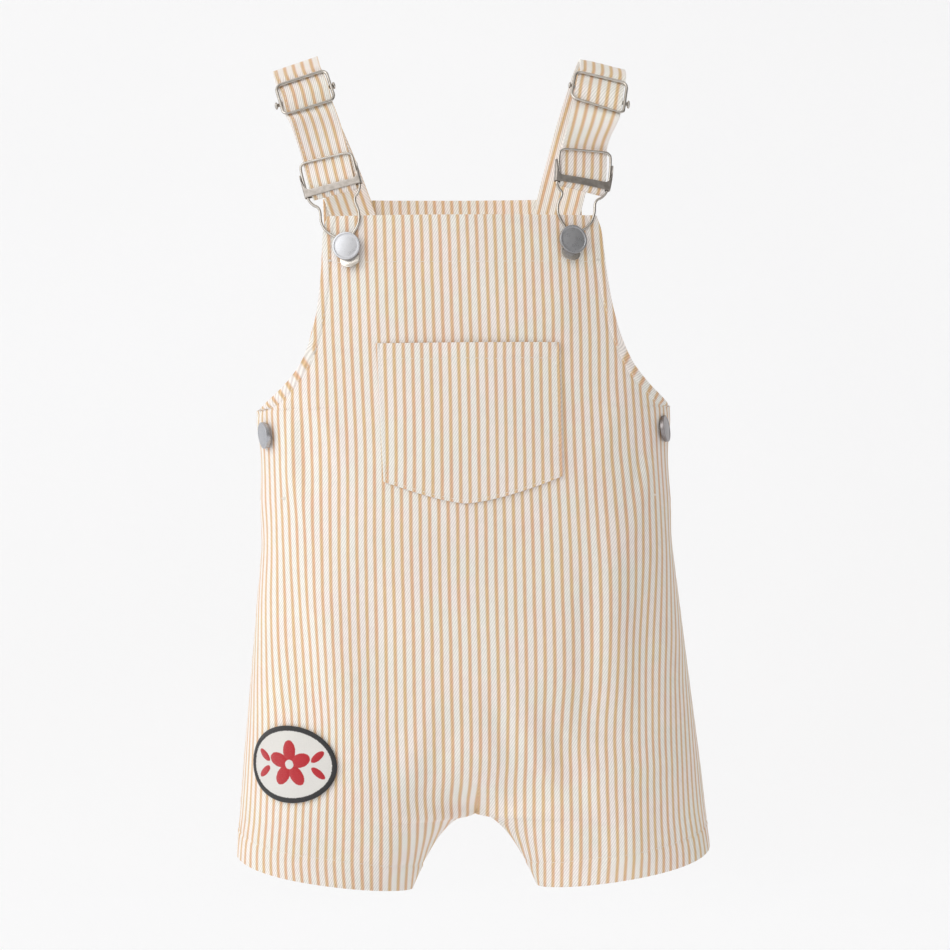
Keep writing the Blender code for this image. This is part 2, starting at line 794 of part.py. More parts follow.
def strap_route(slider, hook):
    """The strap's middle line and its direction across, from the back over the shoulder to the
    slider, down to the hook's guard, round its rear strip and up again to the slider's bar."""
    top = np.array([math.cos(STRAP_TILT), 0.0, -math.sin(STRAP_TILT)])
    inside = -(CLOTH + SEAM_GAP + STRAP_THICKNESS / 2)
    stops = []
    for across, height in STRAP_ON_BACK:
        spot, out = place_on("back", across, height, inside)
        level = unit(np.cross((0, 0, 1), out)) * -1
        up = np.cross(level, out)
        stops.append((spot, math.cos(BACK_STRAP_TILT) * level - math.sin(BACK_STRAP_TILT) * up))
    rear_half = STRAP_THICKNESS / 2 + SEAM_GAP + GUARD_SHEET / 2
    front_run = GUARD_REAR_OUT + rear_half
    return_run = GUARD_REAR_OUT - rear_half
    strap_behind = -(SLIDER_WIRE + SEAM_GAP + STRAP_THICKNESS / 2)
    over_bar = SLIDER_BAR_OUT + SLIDER_WIRE + SEAM_GAP + STRAP_THICKNESS / 2
    under_bar = SLIDER_BAR_OUT - SLIDER_WIRE - SEAM_GAP - STRAP_THICKNESS / 2
    guard_foot = GUARD_UP - GUARD_HALF_HEIGHT
    stops += [(np.array(spot), top) for spot in SHOULDER_ROUTE]
    stops += [
        (put(slider, 0, SLIDER_HALF_HEIGHT + ABOVE_SLIDER, ABOVE_SLIDER_OUT), slider.across),
        (put(slider, 0, SLIDER_HALF_HEIGHT, strap_behind), slider.across),
        (put(slider, 0, 0, over_bar), slider.across),
        (put(slider, 0, -SLIDER_HALF_HEIGHT, strap_behind), slider.across),
        (put(slider, 0, -SLIDER_HALF_HEIGHT - BELOW_SLIDER, BELOW_SLIDER_OUT), slider.across),
        (put(hook, 0, HOOK_TOP + ABOVE_HOOK, 0.0), hook.across),
        (put(hook, 0, HOOK_TOP, 0.0), hook.across),
        (put(hook, 0, GUARD_UP + ABOVE_GUARD, front_run), hook.across),
        (put(hook, 0, GUARD_UP, front_run), hook.across),
        (put(hook, 0, guard_foot, front_run), hook.across),
        (put(hook, 0, guard_foot - rear_half, GUARD_REAR_OUT), hook.across),
        (put(hook, 0, guard_foot, return_run), hook.across),
        (put(hook, 0, GUARD_UP, return_run), hook.across),
        (put(hook, 0, HOOK_TOP, RETURN_AT_HOOK_OUT), hook.across),
        (put(slider, 0, -SLIDER_HALF_HEIGHT - BELOW_SLIDER, BELOW_SLIDER_RETURN_OUT), slider.across),
        (put(slider, 0, -SLIDER_HALF_HEIGHT, strap_behind - STRAP_THICKNESS - SEAM_GAP), slider.across),
        (put(slider, 0, 0, under_bar), slider.across),
        (put(slider, 0, TAIL_PAST_BAR, under_bar), slider.across),
    ]
    line = smooth_route([stop for stop, _ in stops], ROUTE_STEPS)
    across = smooth_route([direction for _, direction in stops], ROUTE_STEPS)
    return line, across


def strap(name, slider, hook, finish, side):
    """A flat tube of cloth, as one ribbon, bowed where it is sewn inside the back."""
    line, across = strap_route(slider, hook)
    along = np.gradient(line, axis=0)
    outer, inner = [], []
    for number, (place, direction, sense) in enumerate(zip(line, across, along)):
        direction = unit(direction - unit(sense) * (direction @ unit(sense)))
        out = unit(np.cross(sense, direction))
        left_over = 1 - number / (BOWED_STOPS * ROUTE_STEPS)
        bow = BACK_STRAP_BOW * smooth_step(2 * left_over)
        for aside in (-0.5, 0.0, 0.5):
            middle = place + direction * aside * STRAP_WIDTH - out * bow * abs(aside) * 2
            outer.append(middle + out * STRAP_THICKNESS / 2)
            inner.append(middle - out * STRAP_THICKNESS / 2)
    faces = wall_faces(grid_faces(len(line), 3), len(outer))
    faces = [tuple(reversed(face)) for face in faces]
    add_mesh(name, outer + inner, faces, finish, side)


# ---- the whole garment -----------------------------------------------------------------------


def build():
    for old in list(bpy.data.objects):
        bpy.data.objects.remove(old, do_unlink=True)
    twill = material("striped_twill", (0.84, 0.77, 0.66), 0.85)
    badge_cloth = material("badge_embroidery", (0.75, 0.72, 0.70), 0.7)
    steel = material("polished_steel", (0.78, 0.77, 0.75), 0.22, 1.0)
    satin = material("satin_steel", (0.66, 0.67, 0.69), 0.35, 1.0)
    for panel in ("front", "back"):
        points, faces = panel_wall(panel)
        add_mesh(panel, points, faces, twill, sharp=CLOTH_SHARP_ANGLE)
    pocket(twill)
    badge(badge_cloth)
    hook = hook_place()
    slider = slider_place()
    side_place = side_button_place()
    for word, side in (("right", 1), ("left", -1)):
        strap("strap_" + word, slider, hook, twill, side)
        slider_frame("slider_frame_" + word, slider, steel, side)
        slider_bar("slider_bar_" + word, slider, steel, side)
        hook_wire("hook_wire_" + word, hook, steel, side)
        hook_guard("hook_guard_" + word, hook, steel, side)
        hook_lip("hook_lip_" + word, hook, steel, side)
        button("bib_button_" + word, hook, BIB_BUTTON_UNDER, BIB_BUTTON_FACE, satin, side)
        button("side_button_" + word, side_place, SIDE_BUTTON_UNDER, SIDE_BUTTON_FACE, satin, side)


build()
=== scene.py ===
import json
import math
import random

import bmesh
import bpy
import numpy as np
from mathutils import Matrix, Vector
from mathutils.bvhtree import BVHTree

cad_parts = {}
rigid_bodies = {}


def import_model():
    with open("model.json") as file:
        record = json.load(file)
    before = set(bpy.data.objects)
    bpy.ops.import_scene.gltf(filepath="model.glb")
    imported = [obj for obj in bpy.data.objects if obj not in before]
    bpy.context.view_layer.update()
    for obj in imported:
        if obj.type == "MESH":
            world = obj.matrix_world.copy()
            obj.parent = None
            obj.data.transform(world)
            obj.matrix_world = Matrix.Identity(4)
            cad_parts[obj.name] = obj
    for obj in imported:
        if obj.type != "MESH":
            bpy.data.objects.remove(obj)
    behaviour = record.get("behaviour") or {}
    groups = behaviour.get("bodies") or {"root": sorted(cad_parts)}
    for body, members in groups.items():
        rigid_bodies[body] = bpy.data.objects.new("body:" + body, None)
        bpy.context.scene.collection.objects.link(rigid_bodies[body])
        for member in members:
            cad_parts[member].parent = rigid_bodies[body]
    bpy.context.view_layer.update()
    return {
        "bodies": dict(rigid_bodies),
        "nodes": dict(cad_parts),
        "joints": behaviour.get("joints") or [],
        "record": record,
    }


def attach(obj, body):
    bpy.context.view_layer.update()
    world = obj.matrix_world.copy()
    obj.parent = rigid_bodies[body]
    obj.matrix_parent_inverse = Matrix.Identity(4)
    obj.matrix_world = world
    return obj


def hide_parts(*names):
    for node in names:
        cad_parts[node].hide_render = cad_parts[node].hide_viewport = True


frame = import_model()
bpy.ops.object.select_all(action="DESELECT")
random.seed(7)

# The worn form, as the solids have it, in metres from the top of the straps down
garment = dict(
    bibTop=-0.086, backTop=-0.0705, underarm=-0.188, crotch=-0.405, inseamHem=-0.445,
    hemRise=0.0213, hemCurve=1.75,  # how much higher the hem is at the side
    rounding=0.04, legsBegin=0.08, webSoftness=3, archHalfWidth=0.0338, squareness=0.03, seamGap=0.0003,
    archFrom=0.1, archOver=0.42, archSlows=0.9,  # parts of a leg over which the arch opens more slowly
    lapBottom=-0.235, lapTaper=0.028, lapAngle=math.radians(11), lapLift=0.0018,
    lapLiftFrom=math.radians(68), lapLiftTo=math.radians(87),
    cornerFades=0.014, cornerDrop=0.36, cornerReach=0.007,
    wall=0.0015, thickness=0.001, strapsAside=0.002, strapsReach=0.085,
    strapLean=0.022, bodyLean=0.012,  # sideways drift for each metre down, above and below the underarm
)

# height, half width, front depth, back depth
bodySections = (
    (-0.04, 0.092, 0.035, 0.037),
    (-0.086, 0.0985, 0.0405, 0.042),
    (-0.13, 0.1045, 0.0455, 0.0465),
    (-0.188, 0.1105, 0.0475, 0.05),
    (-0.213, 0.1084, 0.048, 0.0518),
    (-0.24, 0.1096, 0.0485, 0.054),
    (-0.3, 0.1153, 0.054, 0.062),
    (-0.345, 0.12, 0.058, 0.065),
    (-0.38, 0.1238, 0.055, 0.061),
    (-0.405, 0.1262, 0.049, 0.053),
    (-0.425, 0.128, 0.0405, 0.043),
    (-0.445, 0.1296, 0.033, 0.035),
)

# The armhole's cut edge: height, half width
armholeEdge = (
    (-0.139, 0.0792), (-0.154, 0.0836), (-0.165, 0.089), (-0.175, 0.0972), (-0.1826, 0.105), (-0.188, 0.1105)
)
bibEdge = ((-0.086, 0.0712), (-0.092, 0.0732), (-0.104, 0.0745), (-0.121, 0.0762), *armholeEdge)
backEdge = ((-0.0705, 0.0712), (-0.086, 0.0714), (-0.104, 0.0722), (-0.121, 0.074), *armholeEdge)


def smoothStep(value):
    held = np.clip(value, 0.0, 1.0)
    return held * held * (3 - 2 * held)


def hill(value, width):
    # 1 at zero, and nearly nothing beyond two widths
    return np.exp(-((value / width) ** 2))


def curveThrough(table, column=1):
    # a smooth curve through one column of a table, which takes arrays of heights
    rows = np.array(sorted(table), float)
    heights, values = rows[:, 0], rows[:, column]
    slopes = np.gradient(values, heights)

    def at(height):
        held = np.clip(height, heights[0], heights[-1])
        low = np.clip(np.searchsorted(heights, held, side="right") - 1, 0, len(rows) - 2)
        step = heights[low + 1] - heights[low]
        part = (held - heights[low]) / step
        square, cube = part**2, part**3
        start = (2 * cube - 3 * square + 1) * values[low] + (cube - 2 * square + part) * step * slopes[low]
        return start + (3 * square - 2 * cube) * values[low + 1] + (cube - square) * step * slopes[low + 1]

    return at


halfWidthAt = curveThrough(bodySections)
depthAt = {"front": curveThrough(bodySections, 2), "back": curveThrough(bodySections, 3)}
facing = {"front": -1, "back": 1}
topOf = {"front": garment["bibTop"], "back": garment["backTop"]}
quarter = math.pi / 2


def trunkPoints(panel, angle, height):
    square = garment["squareness"]
    across = halfWidthAt(height) * (np.sin(angle) + square * np.sin(3 * angle)) / (1 - square)
    away = depthAt[panel](height) * (np.cos(angle) - square * np.cos(3 * angle)) / (1 - square)
    return np.stack([across, facing[panel] * (away + garment["seamGap"] / 2), height + 0 * across], -1)


def legPoints(panel, part, height):
    # the arch opens fast at the inseam and slower further out, so that the leg has no crease at its top
    drop = np.maximum(garment["crotch"] - height, 0) / (garment["crotch"] - garment["inseamHem"])
    further = smoothStep((part - garment["archFrom"]) / garment["archOver"])
    inner = garment["archHalfWidth"] * drop ** (0.5 + garment["archSlows"] * further)
    outer = halfWidthAt(height)
    across = (inner + outer) / 2 - (outer - inner) / 2 * np.cos(part * math.pi)
    away = depthAt[panel](height) * np.sin(part * math.pi) + garment["seamGap"] / 2
    return np.stack([across, facing[panel] * away, height + 0 * across], -1)


def edgeTable(panel):
    # the angle at which the armhole cuts the panel off, for many heights
    edgeAt = curveThrough(bibEdge if panel == "front" else backEdge)
    heights = np.linspace(garment["underarm"], topOf[panel], 240)
    angles = np.linspace(0, quarter, 181)
    across = trunkPoints(panel, angles[None, :], heights[:, None])[..., 0]
    cuts = [np.interp(edgeAt(height), row, angles) for height, row in zip(heights, across)]
    return heights, np.array(cuts)


edgeTables = {panel: edgeTable(panel) for panel in ("front", "back")}


def edgeAngleAt(panel, height):
    return np.where(height <= garment["underarm"], quarter, np.interp(height, *edgeTables[panel]))


def panelPoints(panel, part, height):
    # a panel's right half, from its middle or inseam (0) to its edge (1)
    part, height = np.broadcast_arrays(np.asarray(part, float), np.asarray(height, float))
    above = height - garment["crotch"]
    trunk = trunkPoints(panel, part * edgeAngleAt(panel, height), height)
    leg = legPoints(panel, part, height)
    legs = smoothStep(1 - above / garment["legsBegin"])[..., None]
    points = (1 - legs) * trunk + legs * leg
    low = np.clip(1 - above / garment["rounding"], 0, 1)
    fullness = np.sqrt(1 - low * low)
    tube = np.clip(np.sin(part * math.pi), 0, 1)
    soft = tube ** (1 + garment["webSoftness"] * smoothStep(2 * (1 - low)))
    away = legs[..., 0] * (soft - tube) + (fullness - 1 + legs[..., 0]) * (1 - soft)
    inWeb = (part < 0.5) & (above > 0)
    points[..., 1] += np.where(inWeb, facing[panel] * depthAt[panel](height) * away, 0)
    return np.where((above <= 0)[..., None], leg, points)


# Folds, as soft ridges (+) and troughs (-), in millimetres: width, depth, then places across and height
folds = {
    "front": (
        (12, 2.4, (-85, -270), (-74, -330), (-60, -400)),
        (9, -1.8, (-100, -255), (-94, -300), (-90, -350)),
        (10, -1.3, (-60, -255), (-52, -300), (-46, -350)),
        (10, 2.0, (79, -215), (73, -280), (69, -350)),
        (8, -1.7, (62, -270), (57, -320), (56, -375)),
        (8, -1.5, (94, -265), (90, -320), (88, -380)),
        (6, -1.3, (4, -330), (14, -365), (20, -396)),
        (6, 1.2, (18, -325), (30, -365), (44, -405)),
        (7, -1.2, (36, -345), (50, -380), (60, -415)),
        (6, -1.0, (-10, -345), (-22, -375), (-34, -405)),
        (7, 1.0, (-20, -330), (-34, -365), (-48, -410)),
        (3, 1.4, (-94, -180), (-93.5, -205), (-94.5, -236)),
        (3.5, -0.9, (-88, -188), (-87, -210), (-84, -240)),
        (4.5, 0.8, (-97, -212), (-90, -235), (-80, -262)),
        (3.2, -0.9, (90, -192), (91, -212), (88, -240)),
        (4.5, 1.0, (96, -210), (92, -232), (84, -262)),
        (6, 0.9, (-86, -172), (-75, -195), (-64, -222)),
        (6, 0.8, (86, -172), (76, -195), (62, -225)),
        (16, -1.4, (-30, -262), (10, -268), (45, -262)),
        (10, -0.8, (-48, -112), (0, -118), (48, -112)),
        (8, 0.6, (-52, -118), (-46, -150)),
        (8, 0.6, (52, -118), (48, -150)),
        (9, -1.0, (-82, -395), (-80, -440)),
        (8, 1.0, (-46, -400), (-52, -440)),
        (9, 1.2, (78, -390), (82, -438)),
        (7, -0.9, (62, -400), (60, -442)),
    ),
    "back": (
        (12, 2.2, (-80, -250), (-70, -320), (-58, -390)),
        (11, 2.0, (74, -240), (70, -300), (66, -370)),
        (12, -1.6, (0, -300), (8, -380)),
        (7, 1.2, (14, -335), (28, -370), (42, -405)),
        (7, -1.2, (-12, -335), (-26, -370), (-44, -408)),
        (6, 1.2, (-94, -195), (-88, -225), (-80, -260)),
        (6, 1.2, (94, -195), (90, -225), (84, -265)),
        (12, 1.0, (-50, -100), (-40, -150), (-36, -200)),
        (12, 1.0, (50, -100), (42, -150), (36, -200)),
        (12, -1.4, (-40, -225), (0, -236), (44, -228)),
        (10, -1.4, (-62, -270), (-52, -320)),
        (10, -1.2, (52, -290), (50, -345)),
        (9, 1.1, (80, -395), (82, -438)),
        (9, -1.0, (-78, -395), (-82, -440)),
    ),
}
millimetres = 1000
# the folds fade out towards the side seam and the inseam
foldFade = dict(fromSide=0.07, aboveArm=0.014, fromInseam=0.08, aboveCrotch=0.012)


def foldRelief(panel, across, height):
    # how far the folds stand out of the plain form at each place
    total = np.zeros(np.broadcast(across, height).shape)
    for width, depth, *line in folds[panel]:
        line = np.array(line) / millimetres
        nearest = np.full(total.shape, np.inf)
        lengths = np.linalg.norm(np.diff(line, axis=0), axis=1)
        begins = np.concatenate([[0], np.cumsum(lengths)])
        along = np.zeros(total.shape)
        for start, end, length, begin in zip(line, line[1:], lengths, begins):
            run = (end - start) / length
            reach = np.clip((across - start[0]) * run[0] + (height - start[1]) * run[1], 0, length)
            aside = np.hypot(across - start[0] - reach * run[0], height - start[1] - reach * run[1])
            closer = aside < nearest
            nearest = np.where(closer, aside, nearest)
            along = np.where(closer, (begin + reach) / begins[-1], along)
        ends = np.sin(math.pi * np.clip(along, 0, 1)) ** 1.2
        total += depth / millimetres * ends * hill(nearest, width / millimetres)
    return total


stripeRepeat = 0.00478


def distanceToArmhole(arc, height):
    # across the cloth to the armhole's cut edge, square to that edge
    slope = np.gradient(arc[:, -1], height)
    return (arc[:, -1:] - arc) / np.sqrt(1 + np.minimum(slope**2, 4))[:, None]


# Hems, facings and side seams of the two panels
seams = dict(
    bandWidth=0.005, bandRaise=0.0003,  # the turned edge of the armhole
    bandTurnFrom=-0.15, bandTurnFull=-0.158,  # below this it is eased, and its stripes lean outwards
    bandLean=0.62, bandFades=0.005, leanFades=0.01,
    facingDepth=0.024, legHemDepth=0.0135, hemRaise=0.00025, raiseOver=0.0015,
    grooveDepth=0.0003, grooveWidth=0.0009,
    puckerDepth=0.00022, puckerLength=0.0068, hemPuckers=0.0085, facingPuckers=0.011,
    seamDip=0.0007, seamDipWidth=0.003, crinkle=0.00018, crinkleLength=0.0125, crinkleWidth=0.006,
    turnIn=(0.001, 0.005),
)

panelGrid = dict(
    middleColumns=62, edgeColumns=26, edgeShare=0.12, legRows=38, legTopRows=10, legTopShare=0.15,
    roundingRows=24, bodyRows=78, openingRows=30, bibRows=62, lapColumns=8,
    stripeSpine=0.055, spineTop=-0.375, spineOver=0.015,  # where the stripes hang from a line on each leg
)


def hemAt(part):
    return garment["inseamHem"] + garment["hemRise"] * part ** garment["hemCurve"]


def rowHeights(panel, parts):
    # heights of every row of the grid, from the hem up, and the number of the row at the crotch
    grid, crotch, level = panelGrid, garment["crotch"], 0 * parts
    share, steps = grid["legTopShare"], grid["legTopRows"]
    shares = [*np.linspace(1, share, grid["legRows"])]
    shares += [share * (1 - step / steps) ** 2 for step in range(1, steps + 1)]
    rows = [crotch - (crotch - hemAt(parts)) * share for share in shares]
    crotchRow = len(rows) - 1
    for step in range(1, grid["roundingRows"] + 1):
        turn = step / grid["roundingRows"] * quarter
        rows.append(crotch + garment["rounding"] * (1 - math.cos(turn)) + level)
    stages = (crotch + garment["rounding"], garment["lapBottom"], garment["underarm"], topOf[panel])
    counts = [grid[name] for name in ("bodyRows", "openingRows", "bibRows")]
    for low, high, count in zip(stages, stages[1:], counts):
        rows += [height + level for height in np.linspace(low, high, count + 1)[1:]]
    return np.array(rows), crotchRow


def stripeArc(points, heights, parts):
    # distance across the cloth from the panel's middle. Close to the crotch, and on the inner side of
    # the legs, the stripes keep their place across, as the cloth there only turns under.
    above = heights[:, 0] - garment["crotch"]
    web = np.where(above >= 0, smoothStep(1 - above / 0.045), 0.65 + 0.35 * smoothStep(1 + above / 0.03))
    counted = 1 - web[:, None] * (1 - smoothStep((parts[None, 1:] - 0.15) / 0.4))
    step = np.diff(points, axis=1)
    lengths = np.sqrt(step[..., 0] ** 2 + counted * step[..., 1] ** 2)
    arc = np.concatenate([np.zeros((len(points), 1)), np.cumsum(lengths, axis=1)], axis=1)
    spine, over = panelGrid["stripeSpine"], panelGrid["spineOver"]
    top = int(np.argmin(np.abs(heights[:, 0] - panelGrid["spineTop"])))
    atSpine = [np.interp(spine, np.abs(points[row, :, 0]), arc[row]) for row in range(top + 1)]
    for row in range(top):
        arc[row] += (atSpine[top] - atSpine[row]) * smoothStep((heights[top, 0] - heights[row, 0]) / over)
    return arc


def gridNormals(points, outwards):
    normals = np.cross(np.gradient(points, axis=1), np.gradient(points, axis=0)) * outwards
    return normals / np.maximum(np.linalg.norm(normals, axis=2), 1e-12)[..., None]


# How far the cloth is drawn sideways. The first row says where across, in millimetres. The others have
# a height in millimetres, then the drift in hundredths of a stripe.
driftAcross = (-112, -100, -85, -70, -55, -35, -10, 15, 35, 55, 70, 85, 100, 112)
drift = (
    (-99.6, -16, -16, -16, -10, 4, 16, 19, 25, 32, 38, 37, 37, 37, 37),
    (-136.6, -8, -8, -8, -6, 2, 10, 13, 21, 30, 41, 61, 62, 62, 62),
    (-183.8, -23, -23, 1, 11, 10, 12, 15, 20, 23, 26, 45, 59, 79, 80),
    (-209.9, -60, -42, 3, 21, 18, 12, 15, 23, 28, 34, 58, 94, 151, 152),
    (-256.9, 12, 8, 5, 4, -1, -3, 11, 26, 37, 57, 84, 143, 178, 178),
    (-288.1, -12, 7, 11, 0, -9, -4, -1, 16, 33, 58, 89, 126, 113, 96),
    (-308.8, 1, 9, 27, 6, -13, -6, -1, 13, 30, 62, 81, 85, 58, 50),
    (-334.7, 20, 57, 49, 13, -15, -15, -6, 8, 16, 44, 42, 39, -10, -71),
    (-350.2, 49, 99, 75, 6, -20, -16, -7, 3, 2, 12, 12, 12, -49, -96),
    (-401.4, 57, 54, 10, -11, -8, 11, -2, -19, -10, -1, 0, -25, -77, -130),
    (-426.2, 62, 28, -11, -29, -13, 45, 24, 1, -9, 18, 31, 0, -41, -87),
)
hundredths = 100
drift = [(row[0] / millimetres, *(value / hundredths for value in row[1:])) for row in drift]
driftCurves = [curveThrough(drift, column + 1) for column in range(len(driftAcross))]


def driftAt(panel, across, height):
    # the hidden side is as uneven, but not the same
    if panel == "back":
        return -0.6 * driftAt("front", -across, height)
    columns = np.array(driftAcross) / millimetres
    low = np.clip(np.searchsorted(columns, across, side="right") - 1, 0, len(columns) - 2)
    share = np.clip((across - columns[low]) / (columns[low + 1] - columns[low]), 0, 1)
    values = np.array([curve(height) for curve in driftCurves])
    rows, places = np.indices(low.shape)
    return values[low, rows, places] * (1 - share) + values[low + 1, rows, places] * share


def puckers(along, length, seed):
    # uneven little gathers along a line of stitching
    phase = 2 * math.pi * along / length
    return 0.6 * np.sin(phase + seed) + 0.4 * np.sin(1.63 * phase + 2.1 * seed)


def turnedEdge(inside, line, gathers, width, groove=1.0):
    # a turned edge stands out as far as its line of stitches, which lies in a groove with gathers
    raised = seams["hemRaise"] * smoothStep((line - inside) / seams["raiseOver"] + 0.5)
    raised -= groove * seams["grooveDepth"] * hill(inside - line, seams["grooveWidth"])
    return raised + seams["puckerDepth"] * gathers * hill(inside - line, width)


def edgeRelief(panel, side, arc, heights, parts):
    # thickness and stitch grooves of the turned edges, and the dip at the side seam
    middle = heights[:, 0]
    seed = 1.3 * side + facing[panel]
    above = middle > garment["underarm"]
    inside = distanceToArmhole(arc, middle)
    band = seams["bandWidth"]
    puckered = smoothStep((seams["bandTurnFrom"] - middle) / 0.01)[:, None] * 0.8 + 0.2
    atBand = seams["bandRaise"] * smoothStep((band - inside) / 0.0012 + 0.5)
    atBand -= seams["grooveDepth"] * hill(inside - band, seams["grooveWidth"])
    gathers = puckers(heights + 0.6 * arc, seams["puckerLength"], seed)
    atBand += puckered * seams["puckerDepth"] * gathers * hill(inside - band, 0.0035)
    total = atBand * smoothStep(1 + (middle - garment["underarm"]) / seams["bandFades"])[:, None]
    gathers = 0.5 * puckers(arc, seams["facingPuckers"], seed)
    total += turnedEdge(topOf[panel] - heights, seams["facingDepth"], gathers, 0.006, 0.7)
    gathers = puckers(arc, seams["hemPuckers"], seed)
    total += turnedEdge(heights - hemAt(parts[None, :]), seams["legHemDepth"], gathers, 0.005)
    fromSeam = arc[:, -1:] - arc
    dip = -seams["seamDip"] * hill(fromSeam, seams["seamDipWidth"])
    gathers = puckers(heights, seams["crinkleLength"], seed)
    dip = dip + seams["crinkle"] * gathers * hill(fromSeam, seams["crinkleWidth"])
    atSide = ~above & ((panel == "back") | (middle < garment["lapBottom"]))
    return total + np.where(atSide[:, None], dip, 0)


def lapLiftAt(angle):
    return smoothStep((angle - garment["lapLiftFrom"]) / (garment["lapLiftTo"] - garment["lapLiftFrom"]))


def lapRelief(panel, parts, heights):
    # the front stands out at the side opening, to lie over the back
    if panel == "back":
        return 0 * heights
    cut = quarter - edgeAngleAt(panel, heights)
    angle = parts[None, :] * (quarter - cut) + cut * smoothStep((parts[None, :] - 0.8) / 0.2)
    down = smoothStep((heights - garment["lapBottom"] + garment["lapTaper"]) / garment["lapTaper"])
    above = heights - garment["underarm"]
    top = smoothStep(1 - above / garment["cornerFades"])
    corner = 1 - garment["cornerDrop"] * smoothStep(1 + above / garment["cornerReach"])
    return garment["lapLift"] * lapLiftAt(angle) * down * top * corner


def leanAt(height):
    # the garment hangs a little askew
    down = -np.asarray(height, float)
    reach = -garment["underarm"]
    lean = garment["strapLean"] * np.minimum(down, reach) + garment["bodyLean"] * np.maximum(down - reach, 0)
    return lean - garment["strapsAside"] * np.clip(1 - down / garment["strapsReach"], 0, 1)


def leanOver(points):
    moved = np.array(points, float)
    moved[..., 0] += leanAt(moved[..., 2])
    return moved


def readPlaces(piece):
    places = np.zeros(3 * len(piece.data.vertices), np.float32)
    piece.data.vertices.foreach_get("co", places)
    return places.reshape(-1, 3).astype(float)


def writePlaces(piece, places):
    piece.data.vertices.foreach_set("co", np.asarray(places, np.float32).ravel())
    piece.data.update()


def newMesh(name, points, faces, uv=None, material=None):
    mesh = bpy.data.meshes.new(name)
    mesh.from_pydata(np.asarray(points).tolist(), [], [list(map(int, face)) for face in faces])
    if uv is not None:
        layer = mesh.uv_layers.new(name="cloth")
        corners = np.zeros(len(mesh.loops), np.int32)
        mesh.loops.foreach_get("vertex_index", corners)
        layer.uv.foreach_set("vector", np.asarray(uv, np.float32)[corners].ravel())
    mesh.shade_smooth()
    if material:
        mesh.materials.append(material)
    made = bpy.data.objects.new(name, mesh)
    bpy.context.scene.collection.objects.link(made)
    return made


def quads(block, turned=False):
    # the faces between the rows and columns of a block of point numbers
    faces = np.stack([block[:-1, :-1], block[:-1, 1:], block[1:, 1:], block[1:, :-1]], -1).reshape(-1, 4)
    return (faces[:, ::-1] if turned else faces).tolist()


def choose(piece):
    bpy.ops.object.select_all(action="DESELECT")
    bpy.context.view_layer.objects.active = piece
    piece.select_set(True)


def roundOff(piece, rounding, segments, angle, wall=0, offset=0):
    # a sheet gets its wall, and sharp edges are rounded
    if wall:
        sheet = piece.modifiers.new("wall", "SOLIDIFY")
        sheet.thickness, sheet.offset = wall, offset
    soft = piece.modifiers.new("edges", "BEVEL")
    soft.width, soft.segments, soft.limit_method = rounding, segments, "ANGLE"
    soft.angle_limit = math.radians(angle)
    choose(piece)
    for modifier in list(piece.modifiers):
        bpy.ops.object.modifier_apply(modifier=modifier.name)
    piece.data.shade_smooth()
    piece.select_set(False)


surfaces = {}


